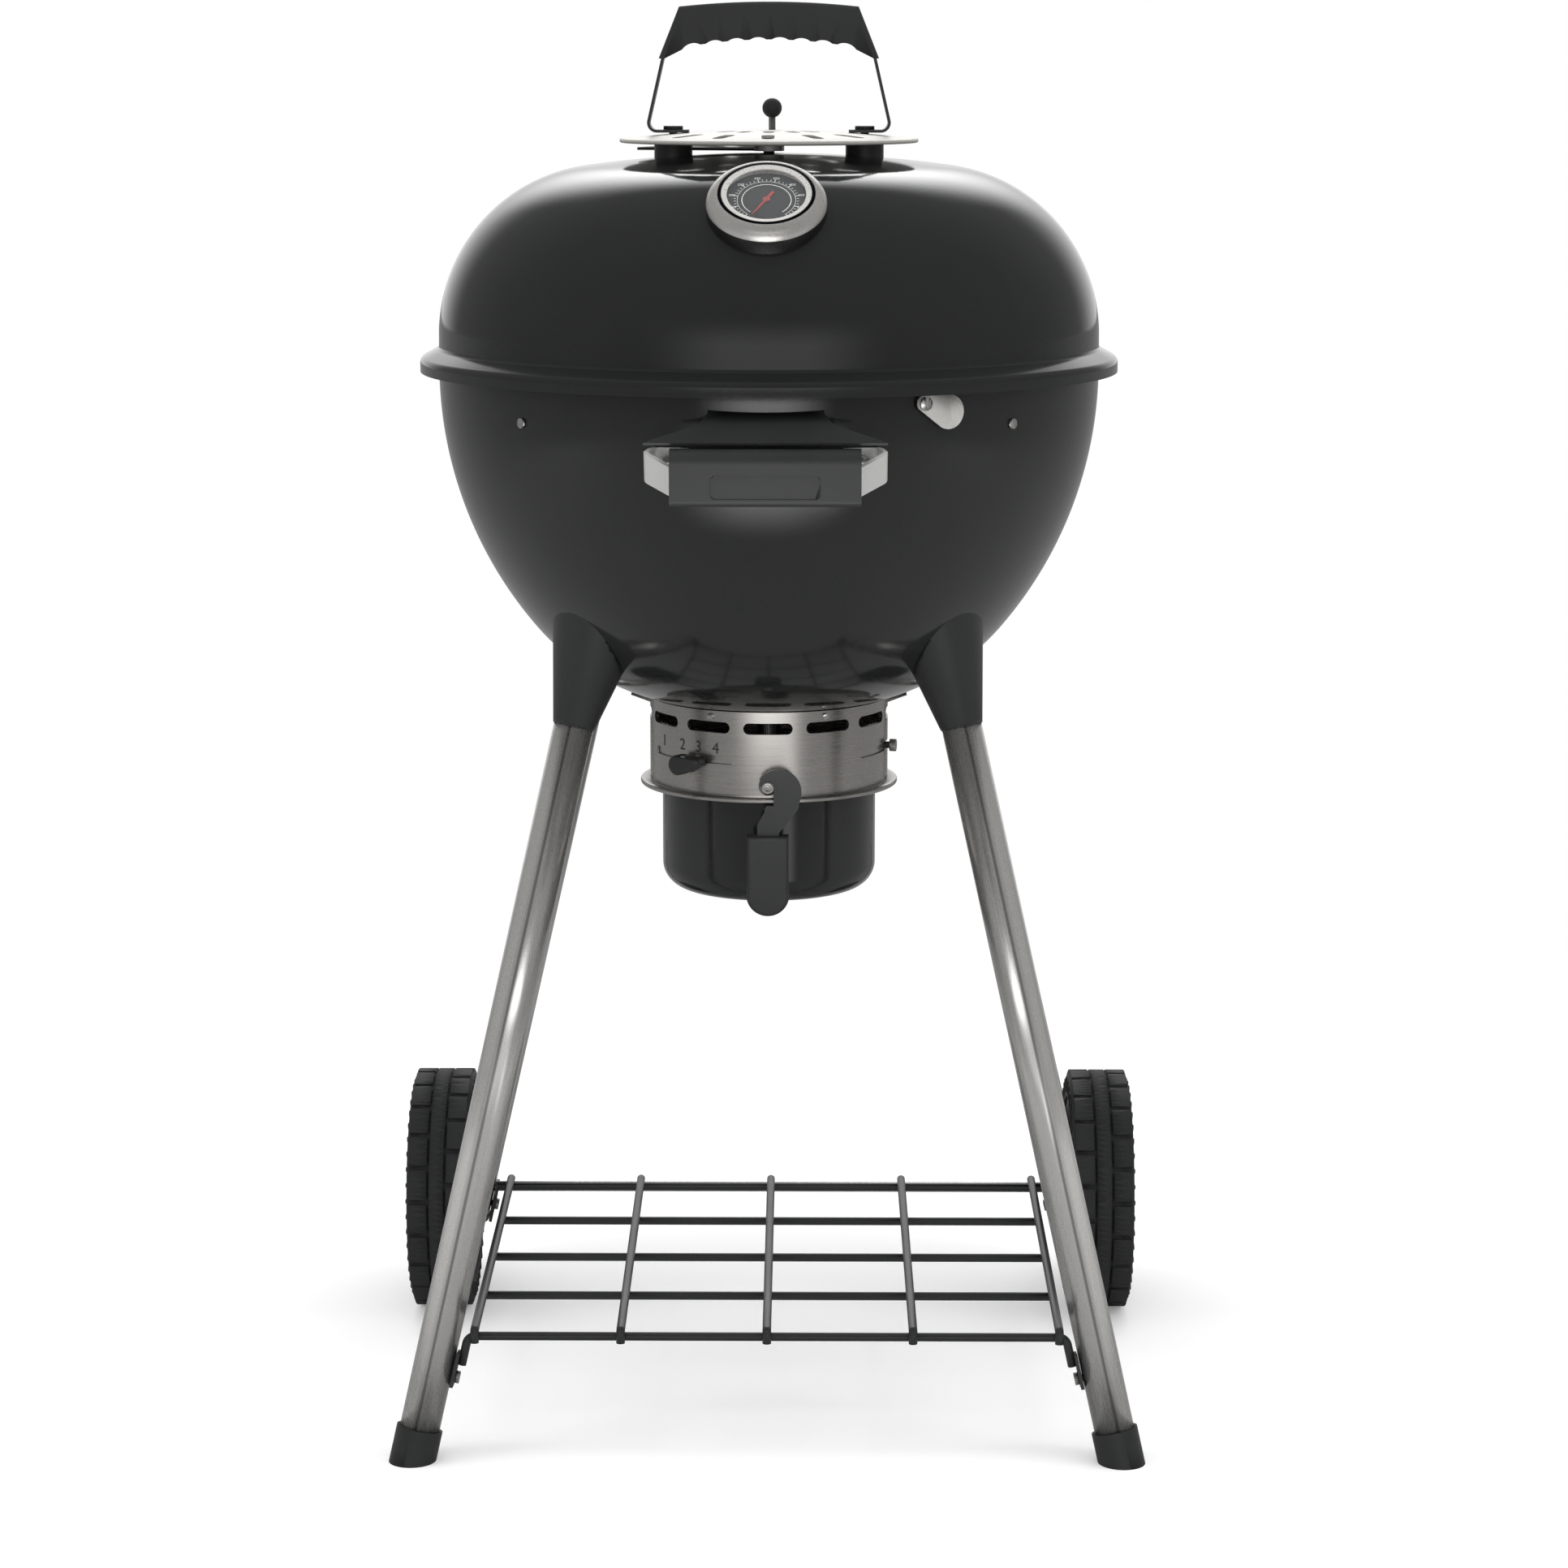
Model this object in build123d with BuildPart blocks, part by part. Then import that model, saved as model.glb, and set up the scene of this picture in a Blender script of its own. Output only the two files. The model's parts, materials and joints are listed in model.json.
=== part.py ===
"""Kettle charcoal grill: a lidded enamel bowl on four splayed legs, two of them on wheels.

Millimetres, +Z up. The origin is on the floor under the kettle's axis, and the front is -Y.
Azimuths are degrees round +Z from +X, so the front is at -90.
"""

import os
from math import acos, asin, atan2, copysign, cos, degrees, radians, sin, sqrt, tan

from build123d import *

os.makedirs("parts", exist_ok=True)

FRONT = -90.0
QUARTERS = (45.0, 135.0, 225.0, 315.0)
SIDES = {"left": -1, "right": 1}

# Bowl
bowl_r = 237.0
bowl_wall = 1.6
bowl_rim_z = 762.0
bowl_side_arc = 287.0
bowl_side_turn = 40.0
bowl_base_arc = 165.0
bead_r = 4.0
bead_out = 3.5
neck_drop = 7.0
neck_wall = 1.5

# Lid
lid_wall = 1.6
lid_top_z = 914.7
lid_crown_arc = 1000.0
lid_shoulder_arc = 122.0
lid_rest_gap = 0.3
skirt_r = 250.5
lid_wall_drop = 10.6
skirt_slope = 62.0
skirt_round = 5.0
skirt_root_round = 3.0
skirt_drop = 16.5

# Heat shield on the lid and its fixings
shield_r = 105.2
shield_dome_arc = 900.0
shield_plate = 2.0
shield_edge_r = 1.5
shield_lift = 16.3
spacer_x = 68.3
spacer_d = 27.3
spacer_seat_gap = 0.1
bolt_d = 6.0
bolt_gap = 0.1
bolt_head_d = 14.0
bolt_head_h = 2.6
bolt_tail = 9.0
nut_d = 11.0
nut_h = 5.0
shield_slot = (26.0, 9.0)
shield_slot_ring = 76.0
shield_slot_azimuths = (40.0, 64.0, 88.0, 112.0, 136.0, 222.0, 246.0, 270.0, 294.0, 318.0)
shield_inner_slot = (16.0, 8.0)
shield_inner_ring = 36.0
shield_inner_azimuths = (215.0, 242.0, 270.0, 298.0, 325.0)

# Lid handle
strap_thick = 2.0
strap_width = 22.0
strap_foot_in = 57.0
strap_foot_out = 88.2
strap_bend = 6.0
strap_knee_x = 75.0
strap_knee_z = 983.0
strap_top_x = 65.5
strap_top_z = 1003.0
grip_top_z = 1020.9
grip_crown = 3.4
grip_top_half = 63.6
grip_tip_half = 78.2
grip_tip_z = 981.2
grip_mid_z = 994.5
grip_end_half = 58.0
grip_end_z = 989.5
grip_tip_width = 3.7
grip_depth = 28.0
grip_edge = 3.5
scallop_count = 8
scallop_pitch = 15.2
scallop_r = 11.0
scallop_cut = 1.7

# Lid vent damper
vent_post_d = 8.0
damper_plate = 2.0
damper_r = 98.0
damper_lift = 1.6
damper_from = 84.0
damper_to = 166.0
damper_hub_d = 22.0
damper_hub_h = 6.0
damper_travel = 70.0
running_gap = 0.05
vent_hole_d = 19.0
vent_ring = 62.0
vent_azimuths = (106.0, 128.0, 150.0)
lever_ring = 52.0
lever_azimuth = 88.0
lever_rod_d = 5.0
lever_slot_gap = 1.5
vent_knob_d = 14.2
vent_knob_z = 945.8

# Thermometer
gauge_r = 187.0
gauge_bezel_r = 40.8
gauge_bezel_top_r = 33.5
gauge_bezel_foot = 2.5
gauge_bezel_bulge = 1.4
gauge_groove = 1.2
gauge_groove_deep = 4.0
gauge_bezel_h = 12.0
gauge_bezel_skirt = 10.0
gauge_case_r = 31.0
gauge_case_gap = 0.3
gauge_case_wall = 2.2
gauge_case_base = 4.0
gauge_floor = 1.5
gauge_dial_t = 0.8
gauge_ring_r = 26.6
gauge_ring_h = 2.0
gauge_lens_t = 1.5
gauge_lens_lift = 2.5
needle_long = 19.0
needle_short = 9.0
needle_width = 2.2
needle_t = 0.7
needle_lift = 0.5
needle_hub_d = 5.0
needle_rest = 240.0
needle_pin_d = 1.6
stem_d = 6.0
stem_length = 78.0
stem_hole_gap = 1.0
stem_nut_d = 16.0
stem_nut_h = 5.0

# Front handle
handle_reach = 286.0
handle_grip_half = 63.0
handle_grip_low = 693.0
handle_grip_high = 730.0
handle_grip_depth = 22.0
handle_grip_round = 9.0
handle_grip_edge = 4.0
handle_panel = (73.0, 16.0)
handle_panel_z = 706.0
handle_panel_deep = 1.0
bracket_thick = 3.0
bracket_z = 716.0
bracket_height = 22.0
bracket_tilt = 25.0
bracket_half = 81.0
bracket_shoulder = 252.0
bracket_entry_half = 55.0
bracket_seat_half = 76.0
bracket_foot = 24.0
bracket_bend = 7.0
handle_screw_d = 5.0
handle_screw_head_d = 8.0
handle_screw_head_h = 2.5
handle_screw_z = 718.0
bracket_foot_low = 710.0
bracket_foot_high = 726.5
hood_top_half = 38.8
hood_low_half = 80.4
hood_top_z = 748.7
hood_low_z = 732.5
hood_reach = 273.0
hood_plate = 1.8
hood_flare = ((44.0, 0.33), (58.5, 0.61), (75.0, 0.89))

# Probe port with its swinging cover
port_azimuth = -59.25
port_z = 748.7
port_d = 16.0
port_bore_d = 10.0
grommet_flange = 2.5
grommet_lip = 1.0
cover_plate = 1.4
cover_big_r = 11.7
cover_small_r = 5.4
cover_arm = (-19.3, 6.3)
cover_gap = 0.4
pivot_d = 4.0
pivot_head_d = 9.0
pivot_head_h = 2.4

# Cooking grate and its brackets
grate_z = 748.6
grate_ring_r = 219.0
grate_ring_wire = 6.0
grate_bar_wire = 5.0
grate_brace_wire = 5.0
grate_weld = 0.8
grate_pitch = 15.0
grate_brace_y = 112.0
grate_lug_width = 70.0
grate_lug_rise = 24.0
grate_lug_wire = 4.0
bracket_arm = 22.0
bracket_width = 18.0
bracket_plate = 2.5
bracket_tab = 18.0
bracket_screw_drop = 11.5
bracket_screw_d = 5.0
bracket_screw_head_d = 7.0
bracket_screw_head_h = 1.6
seat_gap = 0.3

# Charcoal grate
coal_z = 592.0
coal_ring_wire = 7.0
coal_bar_wire = 7.0
coal_pitch = 21.0

# Air collar under the bowl
collar_r = 87.0
collar_wall = 1.2
collar_low = 459.5
collar_flange_r = 94.0
collar_flange_t = 3.0
collar_top_gap = 0.3
air_slot = (35.3, 8.1)
air_slot_z = 512.0
air_slot_count = 12
rivet_z = 519.6
rivet_d = 3.0
rivet_head_d = 5.0
rivet_head_h = 1.2
rivet_azimuths = (-118.0, -62.0, 62.0, 118.0)
collar_tab = (15.0, 16.0, 1.5)
collar_tab_slope = 20.0

# Sweeper with the air sleeve and lever
sleeve_gap = 0.4
sleeve_wall = 1.4
sleeve_low = 472.0
sleeve_high = 516.3
lever_z = 488.5
lever_turn = (-28.0, 19.0)
lever_angle = -38.2
guide_angle = 80.0
lever_pin_d = 5.0
lever_pin_gap = 0.5
lever_pin_reach = 99.0
guide_reach = 92.0
guide_head_d = 9.0
guide_head_h = 4.5
lever_knob_big_r = 7.3
lever_knob_tip_r = 3.0
lever_knob_length = 27.0
lever_knob_thick = 9.0
lever_knob_drop = 5.0
lever_knob_edge = 1.8
spoke_width = 10.0
spoke_h = 4.0
spoke_z = 478.0
shaft_d = 18.0
shaft_top = 546.0
hub_d = 30.0
blade_count = 3
blade_top = 545.0
blade_h = 13.0
blade_thick = 4.0
blade_gap = 0.8

# Ash pot
pot_r = 78.0
pot_wall = 1.5
pot_top = 468.0
pot_low = 382.0
pot_round = 18.0
pot_lip_gap = 0.4
pot_lip_h = 3.0

# Pot latch
latch_z = 472.0
latch_bolt_d = 9.0
latch_bolt_proud = 2.0
latch_bolt_socket_d = 4.2
latch_bolt_socket_deep = 2.0
latch_shoulder_d = 13.0
latch_plate = 3.0
latch_flange_gap = 1.0
latch_arch_out = 25.0
latch_arch_x = 7.5
latch_eye_r = 8.0
latch_mouth = ((4.2, -0.5), (4.2, -13.5), (-1.0, -13.5), (-8.5, -27.0), (-20.0, -27.0), (-20.0, 8.0), (-6.5, 8.0), (-4.2, 0.5))
latch_arm = ((8.0, -6.0), (23.2, -8.0), (21.5, -16.0), (8.0, -33.0), (7.5, -42.0), (-7.5, -42.0), (-7.5, -27.0), (-0.5, -14.8), (8.0, -14.8))
latch_grip_half = 14.8
latch_grip_high = 437.0
latch_grip_low = 398.7
latch_tip_z = 379.2
latch_grip_thick = 15.0
latch_grip_edge = 3.0

# Legs, sockets and feet
leg_d = 28.5
leg_wall = 1.5
leg_top_x = 137.1
leg_top_y = 103.6
leg_top_z = 517.0
foot_x = 252.1
foot_y = 180.4
foot_lift = 9.0
foot_cap_d = 33.0
foot_cap_h = 24.0
axle_leg_x = 235.0
rear_leg_tail = 21.0
plug_h = 5.0
plug_d = 30.0
socket_d = 30.0
socket_mouth = (40.0, 55.0)
socket_mouth_centre = (112.0, 86.0, 615.0)
spigot_length = 35.0
spigot_gap = 0.1
socket_screw_d = 6.0
socket_screw_head_d = 12.0
socket_screw_head_h = 3.0
socket_screw_depth = 22.0
socket_screw_lift = 50.0

# Wheels and axle
wheel_d = 188.0
wheel_in = 236.0
wheel_width = 47.0
axle_y = 192.0
axle_d = 8.0
tread_h = 2.6
rib_width = 11.0
lug_count = 22
lug_groove = 4.0
tyre_in_d = 146.0
tyre_round = 4.0
rim_in_d = 134.0
web_in = 258.0
web_t = 6.0
boss_d = 28.0
boss_in = 254.0
boss_out = 279.0
spoke_count = 6
spoke_rib = 5.0
spoke_rib_h = 9.0
hub_cap_d = 22.0
hub_cap_out = 286.0
hub_cap_gap = 0.4

# Bottom rack
rack_wire = 6.2
rack_front_y = 173.0
rack_front_z = 89.8
rack_rear_y = 183.5
rack_rear_z = 96.4
rack_bar_count = 5
rack_cross_x = (-207.0, -103.5, 0.0, 103.5, 207.0)
rack_weld = 0.4
rack_leg_gap = 0.4
rack_tails = {"front": 27.0, "rear": 14.0}
rack_bend = 7.0
rack_cross_over = 3.0
rack_eye = (15.0, 14.0)
rack_eye_up = 18.0
rack_tail_lift = 9.0
rack_eye_t = 2.0
rack_screw_d = 5.0
rack_screw_head_d = 9.0
rack_screw_head_h = 3.0
rack_screw_depth = 12.0


def save(piece, node):
    """Label a finished piece with its node's name and write it."""
    piece.part.label = node
    export_step(piece.part, f"parts/{node}.step")


def point_at(radius, azimuth, height):
    """Point at a radius and an azimuth about the kettle's axis."""
    return Vector(radius * cos(radians(azimuth)), radius * sin(radians(azimuth)), height)


def wall_plane(radius, azimuth, height):
    """Plane on an upright wall: x runs round it, y runs up and z points out."""
    out = point_at(1, azimuth, 0)
    return Plane(point_at(radius, azimuth, height), x_dir=(-out.Y, out.X, 0), z_dir=out)


def section_plane(origin, direction):
    """Plane for a turned section: y runs along the axis of turning, x is the radius."""
    axis = Vector(*direction).normalized()
    side = Vector(0, 1, 0).cross(axis).normalized()
    return Plane(origin, x_dir=side, z_dir=side.cross(axis))


def upright_plane(azimuth):
    """Plane through the kettle's axis: x is the radius at that azimuth, y runs up."""
    out = point_at(1, azimuth, 0)
    return Plane((0, 0, 0), x_dir=out, z_dir=(out.Y, -out.X, 0))


def rod(start, end, diameter, mode=Mode.ADD):
    """Add a straight round rod to the open part."""
    run = Vector(*end) - Vector(*start)
    with Locations(Plane(start, z_dir=run)):
        Cylinder(diameter / 2, run.length, align=(Align.CENTER, Align.CENTER, Align.MIN), mode=mode)


def bent_wire(plane, points, bend, diameter):
    """Add a round wire to the open part, bent along points of a plane."""
    with BuildLine(plane) as path:
        FilletPolyline(*points, radius=bend)
    with BuildSketch(Plane(path.line @ 0, z_dir=path.line % 0)) as profile:
        Circle(diameter / 2)
    sweep(profile.sketch, path=path.line)


def bent_strip(plane, points, bend, thick, width):
    """Add a flat strip to the open part, bent along points of a plane that halves its width."""
    with BuildSketch(plane) as profile:
        with BuildLine() as path:
            FilletPolyline(*points, radius=bend)
        trace(path.line, thick)
    extrude(profile.sketch, amount=width / 2, both=True)


def cut_arc_slot(azimuths, radii, height, width):
    """Cut a slot that runs round the kettle's axis through a wall of the open part."""
    with BuildSketch(upright_plane(azimuths[0])) as profile:
        with Locations(((radii[0] + radii[1]) / 2, height)):
            Rectangle(radii[1] - radii[0], width)
    revolve(
        profile.sketch, axis=Axis.Z, revolution_arc=azimuths[1] - azimuths[0], mode=Mode.SUBTRACT
    )


# Forms of the bowl and the lid, shared by the pieces that seat on them
side_centre = Vector(bowl_r - bowl_side_arc, bowl_rim_z)
base_centre = side_centre + Vector(cos(radians(bowl_side_turn)), -sin(radians(bowl_side_turn))) * (
    bowl_side_arc - bowl_base_arc
)
crown_turn = degrees(asin((bowl_r - lid_shoulder_arc) / (lid_crown_arc - lid_shoulder_arc)))
crown_centre = Vector(0, lid_top_z - lid_crown_arc)
shoulder_centre = crown_centre + Vector(sin(radians(crown_turn)), cos(radians(crown_turn))) * (
    lid_crown_arc - lid_shoulder_arc
)
wall_turn = degrees(asin(2 * skirt_root_round / lid_shoulder_arc))
skirt_root_z = shoulder_centre.Y + skirt_root_round - lid_wall_drop
skirt_corner_z = skirt_root_z - (skirt_r - bowl_r) / tan(radians(skirt_slope))
skirt_low_z = skirt_root_z - skirt_drop
bead_z = skirt_root_z - (
    bead_out / tan(radians(skirt_slope)) + (bead_r + lid_rest_gap + lid_wall) / sin(radians(skirt_slope))
)


def on_arc(centre, radius, angle):
    """Point of an arc in a section, with the angle up from the radius."""
    return centre + Vector(cos(radians(angle)), sin(radians(angle))) * radius


def bowl_outline(inset, top):
    """Closed half section of the bowl, drawn inset from its outer face."""
    side = bowl_side_arc - inset
    base = bowl_base_arc - inset
    turn = -bowl_side_turn
    rim = on_arc(side_centre, side, 0)
    knee = on_arc(side_centre, side, turn)
    foot = on_arc(base_centre, base, -90)
    with BuildLine() as outline:
        Line((0, top), (rim.X, top))
        Line((rim.X, top), rim)
        ThreePointArc(rim, on_arc(side_centre, side, turn / 2), knee)
        ThreePointArc(knee, on_arc(base_centre, base, (turn - 90) / 2), foot)
        Line(foot, (0, foot.Y))
        Line((0, foot.Y), (0, top))
    make_face(outline.edges())


def bowl_radius(height, inset=0.0):
    """Radius of the bowl's face at a height, on its side arc or its base arc."""
    knee_z = on_arc(side_centre, bowl_side_arc - inset, -bowl_side_turn).Y
    if height >= bowl_rim_z:
        return bowl_r - inset
    centre, arc = (
        (side_centre, bowl_side_arc) if height >= knee_z else (base_centre, bowl_base_arc)
    )
    return centre.X + sqrt((arc - inset) ** 2 - (height - centre.Y) ** 2)


def bowl_base_z(radius, inset=0.0):
    """Height of the bowl's base arc at a radius."""
    return base_centre.Y - sqrt((bowl_base_arc - inset) ** 2 - (radius - base_centre.X) ** 2)


def lid_outline(inset, low):
    """Closed half section of the lid, drawn inset from its outer face."""
    crown = lid_crown_arc - inset
    shoulder = lid_shoulder_arc - inset
    up = 90 - crown_turn
    join = on_arc(crown_centre, crown, up)
    wall = on_arc(shoulder_centre, shoulder, wall_turn)
    miter = inset * tan(radians(skirt_slope / 2))
    with BuildLine() as outline:
        ThreePointArc((0, lid_top_z - inset), on_arc(crown_centre, crown, (up + 90) / 2), join)
        ThreePointArc(join, on_arc(shoulder_centre, shoulder, up / 2), wall)
        FilletPolyline(
            wall,
            (bowl_r - inset, skirt_root_z - miter),
            (skirt_r - inset, skirt_corner_z - miter),
            (skirt_r - inset, low),
            radius=[skirt_root_round + inset, skirt_round - inset],
        )
        Line((skirt_r - inset, low), (0, low))
        Line((0, low), (0, lid_top_z - inset))
    make_face(outline.edges())


def lid_crown_z(radius, inset=0.0):
    """Height of the lid's crown at a radius from its axis."""
    return crown_centre.Y + sqrt((lid_crown_arc - inset) ** 2 - radius**2)


with BuildPart() as bowl_form:
    with BuildSketch(Plane.XZ):
        bowl_outline(0, bead_z)
    revolve(axis=Axis.Z)

with BuildPart() as lid_form:
    with BuildSketch(Plane.XZ):
        lid_outline(0, skirt_low_z)
    revolve(axis=Axis.Z)

# Leg axes: each runs from its low point to its top point under the bowl
leg_ends = {}
for side, sign in SIDES.items():
    leg_ends[f"front_{side}"] = (
        Vector(sign * foot_x, -foot_y, 0),
        Vector(sign * leg_top_x, -leg_top_y, leg_top_z),
    )
    leg_ends[f"rear_{side}"] = (
        Vector(sign * axle_leg_x, axle_y, wheel_d / 2),
        Vector(sign * leg_top_x, leg_top_y, leg_top_z),
    )

# Screws that hold the sockets go in square to the bowl's face, from inside
socket_screw_seats = {}
for corner, (low, top) in leg_ends.items():
    along = (top - low).normalized()
    reach = top + along * socket_screw_lift
    azimuth = degrees(atan2(reach.Y, reach.X))
    radius = sqrt(reach.X**2 + reach.Y**2)
    lean = degrees(acos((radius - base_centre.X) / bowl_base_arc))
    seat = on_arc(base_centre, bowl_base_arc, -lean)
    inward = Vector(-cos(radians(lean)), sin(radians(lean)))
    socket_screw_seats[corner] = Plane(
        point_at(seat.X, azimuth, seat.Y), z_dir=point_at(inward.X, azimuth, inward.Y)
    )

port_plane = wall_plane(bowl_r, port_azimuth, port_z)
pivot_plane = Plane(port_plane.from_local_coords(Vector(*cover_arm, 0)), port_plane.x_dir, port_plane.z_dir)

# Bowl
with BuildPart() as bowl:
    with BuildSketch(Plane.XZ):
        bowl_outline(0, bead_z)
    revolve(axis=Axis.Z)
    with BuildSketch(Plane.XZ):
        bowl_outline(bowl_wall, bead_z + bead_r)
    revolve(axis=Axis.Z, mode=Mode.SUBTRACT)
    with BuildSketch(Plane.XZ):
        with Locations((bowl_r + bead_out, bead_z)):
            Circle(bead_r)
    revolve(axis=Axis.Z)
    neck_r = collar_r - collar_wall
    neck_top = bowl_base_z(neck_r, bowl_wall / 2)
    with BuildSketch(Plane.XY.offset(neck_top - neck_drop)):
        Circle(neck_r)
    extrude(amount=neck_drop)
    with BuildSketch(Plane.XY.offset(neck_top - neck_drop)):
        Circle(neck_r - neck_wall)
    extrude(amount=bowl_base_arc, mode=Mode.SUBTRACT)
    with Locations(port_plane):
        Cylinder(port_d / 2, 4 * bead_r, mode=Mode.SUBTRACT)
    for azimuth in QUARTERS:
        with Locations(wall_plane(bowl_radius(grate_z), azimuth, grate_z - bracket_screw_drop)):
            Cylinder(bracket_screw_d / 2, 4 * bead_r, mode=Mode.SUBTRACT)
    for sign in SIDES.values():
        seat_azimuth = FRONT + sign * degrees(asin((bracket_seat_half - bracket_foot / 2) / bowl_r))
        with Locations(wall_plane(bowl_radius(handle_screw_z), seat_azimuth, handle_screw_z)):
            Cylinder(handle_screw_d / 2, 4 * bead_r, mode=Mode.SUBTRACT)
    for plane in socket_screw_seats.values():
        with Locations(plane):
            Cylinder(socket_screw_d / 2, 4 * bead_r, mode=Mode.SUBTRACT)
    for azimuth in rivet_azimuths:
        with Locations(wall_plane(neck_r, azimuth, rivet_z)):
            Cylinder(rivet_d / 2 + bolt_gap, 4 * neck_wall, mode=Mode.SUBTRACT)
    with Locations(pivot_plane):
        Cylinder(pivot_d / 2, 4 * bead_r, mode=Mode.SUBTRACT)
save(bowl, "bowl")

# Brackets inside the bowl that carry the cooking grate
with BuildPart() as grate_brackets:
    shelf_z = grate_z - grate_ring_wire / 2 - seat_gap
    for azimuth in QUARTERS:
        wall_r = bowl_radius(shelf_z - bracket_tab, bowl_wall + seat_gap)
        with BuildSketch(wall_plane(wall_r, azimuth, shelf_z)):
            with Locations((0, -bracket_tab / 2)):
                Rectangle(bracket_width, bracket_tab)
        extrude(amount=-bracket_plate)
        with BuildSketch(wall_plane(wall_r, azimuth, shelf_z)):
            with Locations((0, -bracket_plate / 2)):
                Rectangle(bracket_width, bracket_plate)
        extrude(amount=-bracket_arm)
        with Locations(wall_plane(wall_r, azimuth, grate_z - bracket_screw_drop)):
            Cylinder(bracket_screw_d / 2, 4 * bracket_plate, mode=Mode.SUBTRACT)
save(grate_brackets, "grate_brackets")

with BuildPart() as bracket_screws:
    screw_z = grate_z - bracket_screw_drop
    screw_out = bowl_radius(screw_z + bracket_screw_head_d / 2)
    screw_in = bowl_radius(shelf_z - bracket_tab, bowl_wall + seat_gap) - bracket_plate
    for azimuth in QUARTERS:
        rod(
            point_at(screw_in, azimuth, screw_z),
            point_at(screw_out, azimuth, screw_z),
            bracket_screw_d - 2 * bolt_gap,
        )
        rod(
            point_at(screw_out, azimuth, screw_z),
            point_at(screw_out + bracket_screw_head_h, azimuth, screw_z),
            bracket_screw_head_d,
        )
        rod(
            point_at(screw_in, azimuth, screw_z),
            point_at(screw_in - bracket_screw_head_h, azimuth, screw_z),
            bracket_screw_head_d,
        )
save(bracket_screws, "bracket_screws")

# Cooking grate: bars laid over a ring and two braces, with a lifting loop at each side
with BuildPart() as cooking_grate:
    with BuildSketch(Plane.XZ):
        with Locations((grate_ring_r, grate_z)):
            Circle(grate_ring_wire / 2)
    revolve(axis=Axis.Z)
    brace_z = grate_z + grate_weld
    for sign in SIDES.values():
        brace_y = sign * grate_brace_y
        reach = sqrt(grate_ring_r**2 - grate_brace_y**2)
        rod((-reach, brace_y, brace_z), (reach, brace_y, brace_z), grate_brace_wire)
    bar_count = int((grate_ring_r - grate_pitch) / grate_pitch)
    bar_z = grate_z + (grate_ring_wire + grate_bar_wire) / 2 - grate_weld
    for step in range(-bar_count, bar_count + 1):
        bar_x = step * grate_pitch
        reach = sqrt(grate_ring_r**2 - bar_x**2)
        rod((bar_x, -reach, bar_z), (bar_x, reach, bar_z), grate_bar_wire)
    for sign in SIDES.values():
        half = grate_lug_width / 2
        bent_wire(
            Plane.YZ.offset(sign * (bar_count - 1) * grate_pitch),
            (
                (-half, bar_z),
                (-half, bar_z + grate_lug_rise),
                (half, bar_z + grate_lug_rise),
                (half, bar_z),
            ),
            grate_ring_wire * 2,
            grate_lug_wire,
        )
save(cooking_grate, "cooking_grate")

# Charcoal grate, seated on the bowl's sloping side
with BuildPart() as charcoal_grate:
    coal_ring_r = bowl_radius(coal_z, bowl_wall + coal_ring_wire / 2 + seat_gap)
    with BuildSketch(Plane.XZ):
        with Locations((coal_ring_r, coal_z)):
            Circle(coal_ring_wire / 2)
    revolve(axis=Axis.Z)
    coal_count = int((coal_ring_r - coal_pitch / 2) / coal_pitch)
    for step in range(-coal_count, coal_count + 1):
        reach = sqrt(coal_ring_r**2 - (step * coal_pitch) ** 2)
        rod((-reach, step * coal_pitch, coal_z), (reach, step * coal_pitch, coal_z), coal_bar_wire)
    rod((0, -coal_ring_r, coal_z), (0, coal_ring_r, coal_z), coal_bar_wire)
save(charcoal_grate, "charcoal_grate")

# Air collar
collar_in = collar_r - collar_wall
collar_top = bowl_base_z(collar_in) - collar_top_gap
pin_margin = degrees((lever_pin_d / 2 + lever_pin_gap) / collar_r)
pin_azimuths = {"lever": FRONT + lever_angle, "guide": FRONT + guide_angle}
with BuildPart() as air_collar:
    with BuildSketch(Plane.XZ):
        with Locations(((collar_r + collar_in) / 2, (collar_low + collar_top) / 2)):
            Rectangle(collar_wall, collar_top - collar_low)
        with BuildLine():
            Polyline(
                (collar_in, collar_low),
                (collar_flange_r, collar_low),
                (collar_flange_r, collar_low + collar_flange_t),
                (collar_in, collar_low + collar_flange_t),
                close=True,
            )
        make_face()
    revolve(axis=Axis.Z)
    flange_edges = air_collar.edges().filter_by(GeomType.CIRCLE).filter_by(
        lambda edge: edge.radius > (collar_r + collar_flange_r) / 2
    )
    fillet(flange_edges, collar_flange_t / 3)
    for step in range(air_slot_count):
        with BuildSketch(wall_plane(collar_r, FRONT + step * 360 / air_slot_count, air_slot_z)):
            SlotOverall(*air_slot)
        extrude(amount=3 * collar_wall, both=True, mode=Mode.SUBTRACT)
    for azimuth in pin_azimuths.values():
        cut_arc_slot(
            (azimuth + lever_turn[0] - pin_margin, azimuth + lever_turn[1] + pin_margin),
            (collar_in - collar_wall, collar_r + collar_wall),
            lever_z,
            lever_pin_d + 2 * lever_pin_gap,
        )
    for azimuth in rivet_azimuths:
        with Locations(wall_plane(collar_r, azimuth, rivet_z)):
            Cylinder(rivet_d / 2 + bolt_gap, 4 * collar_wall, mode=Mode.SUBTRACT)
    with Locations(wall_plane(collar_r, FRONT, latch_z)):
        Cylinder(latch_bolt_d / 2 + bolt_gap, 4 * collar_wall, mode=Mode.SUBTRACT)
    for sign in SIDES.values():
        slope = radians(collar_tab_slope)
        with Locations(
            Plane(
                (sign * (collar_r - collar_wall / 2), 0, rivet_z),
                x_dir=(sign * cos(slope), 0, sin(slope)),
                z_dir=(-sign * sin(slope), 0, cos(slope)),
            )
        ):
            Box(*collar_tab, align=(Align.MIN, Align.CENTER, Align.CENTER))
save(air_collar, "air_collar")

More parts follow.
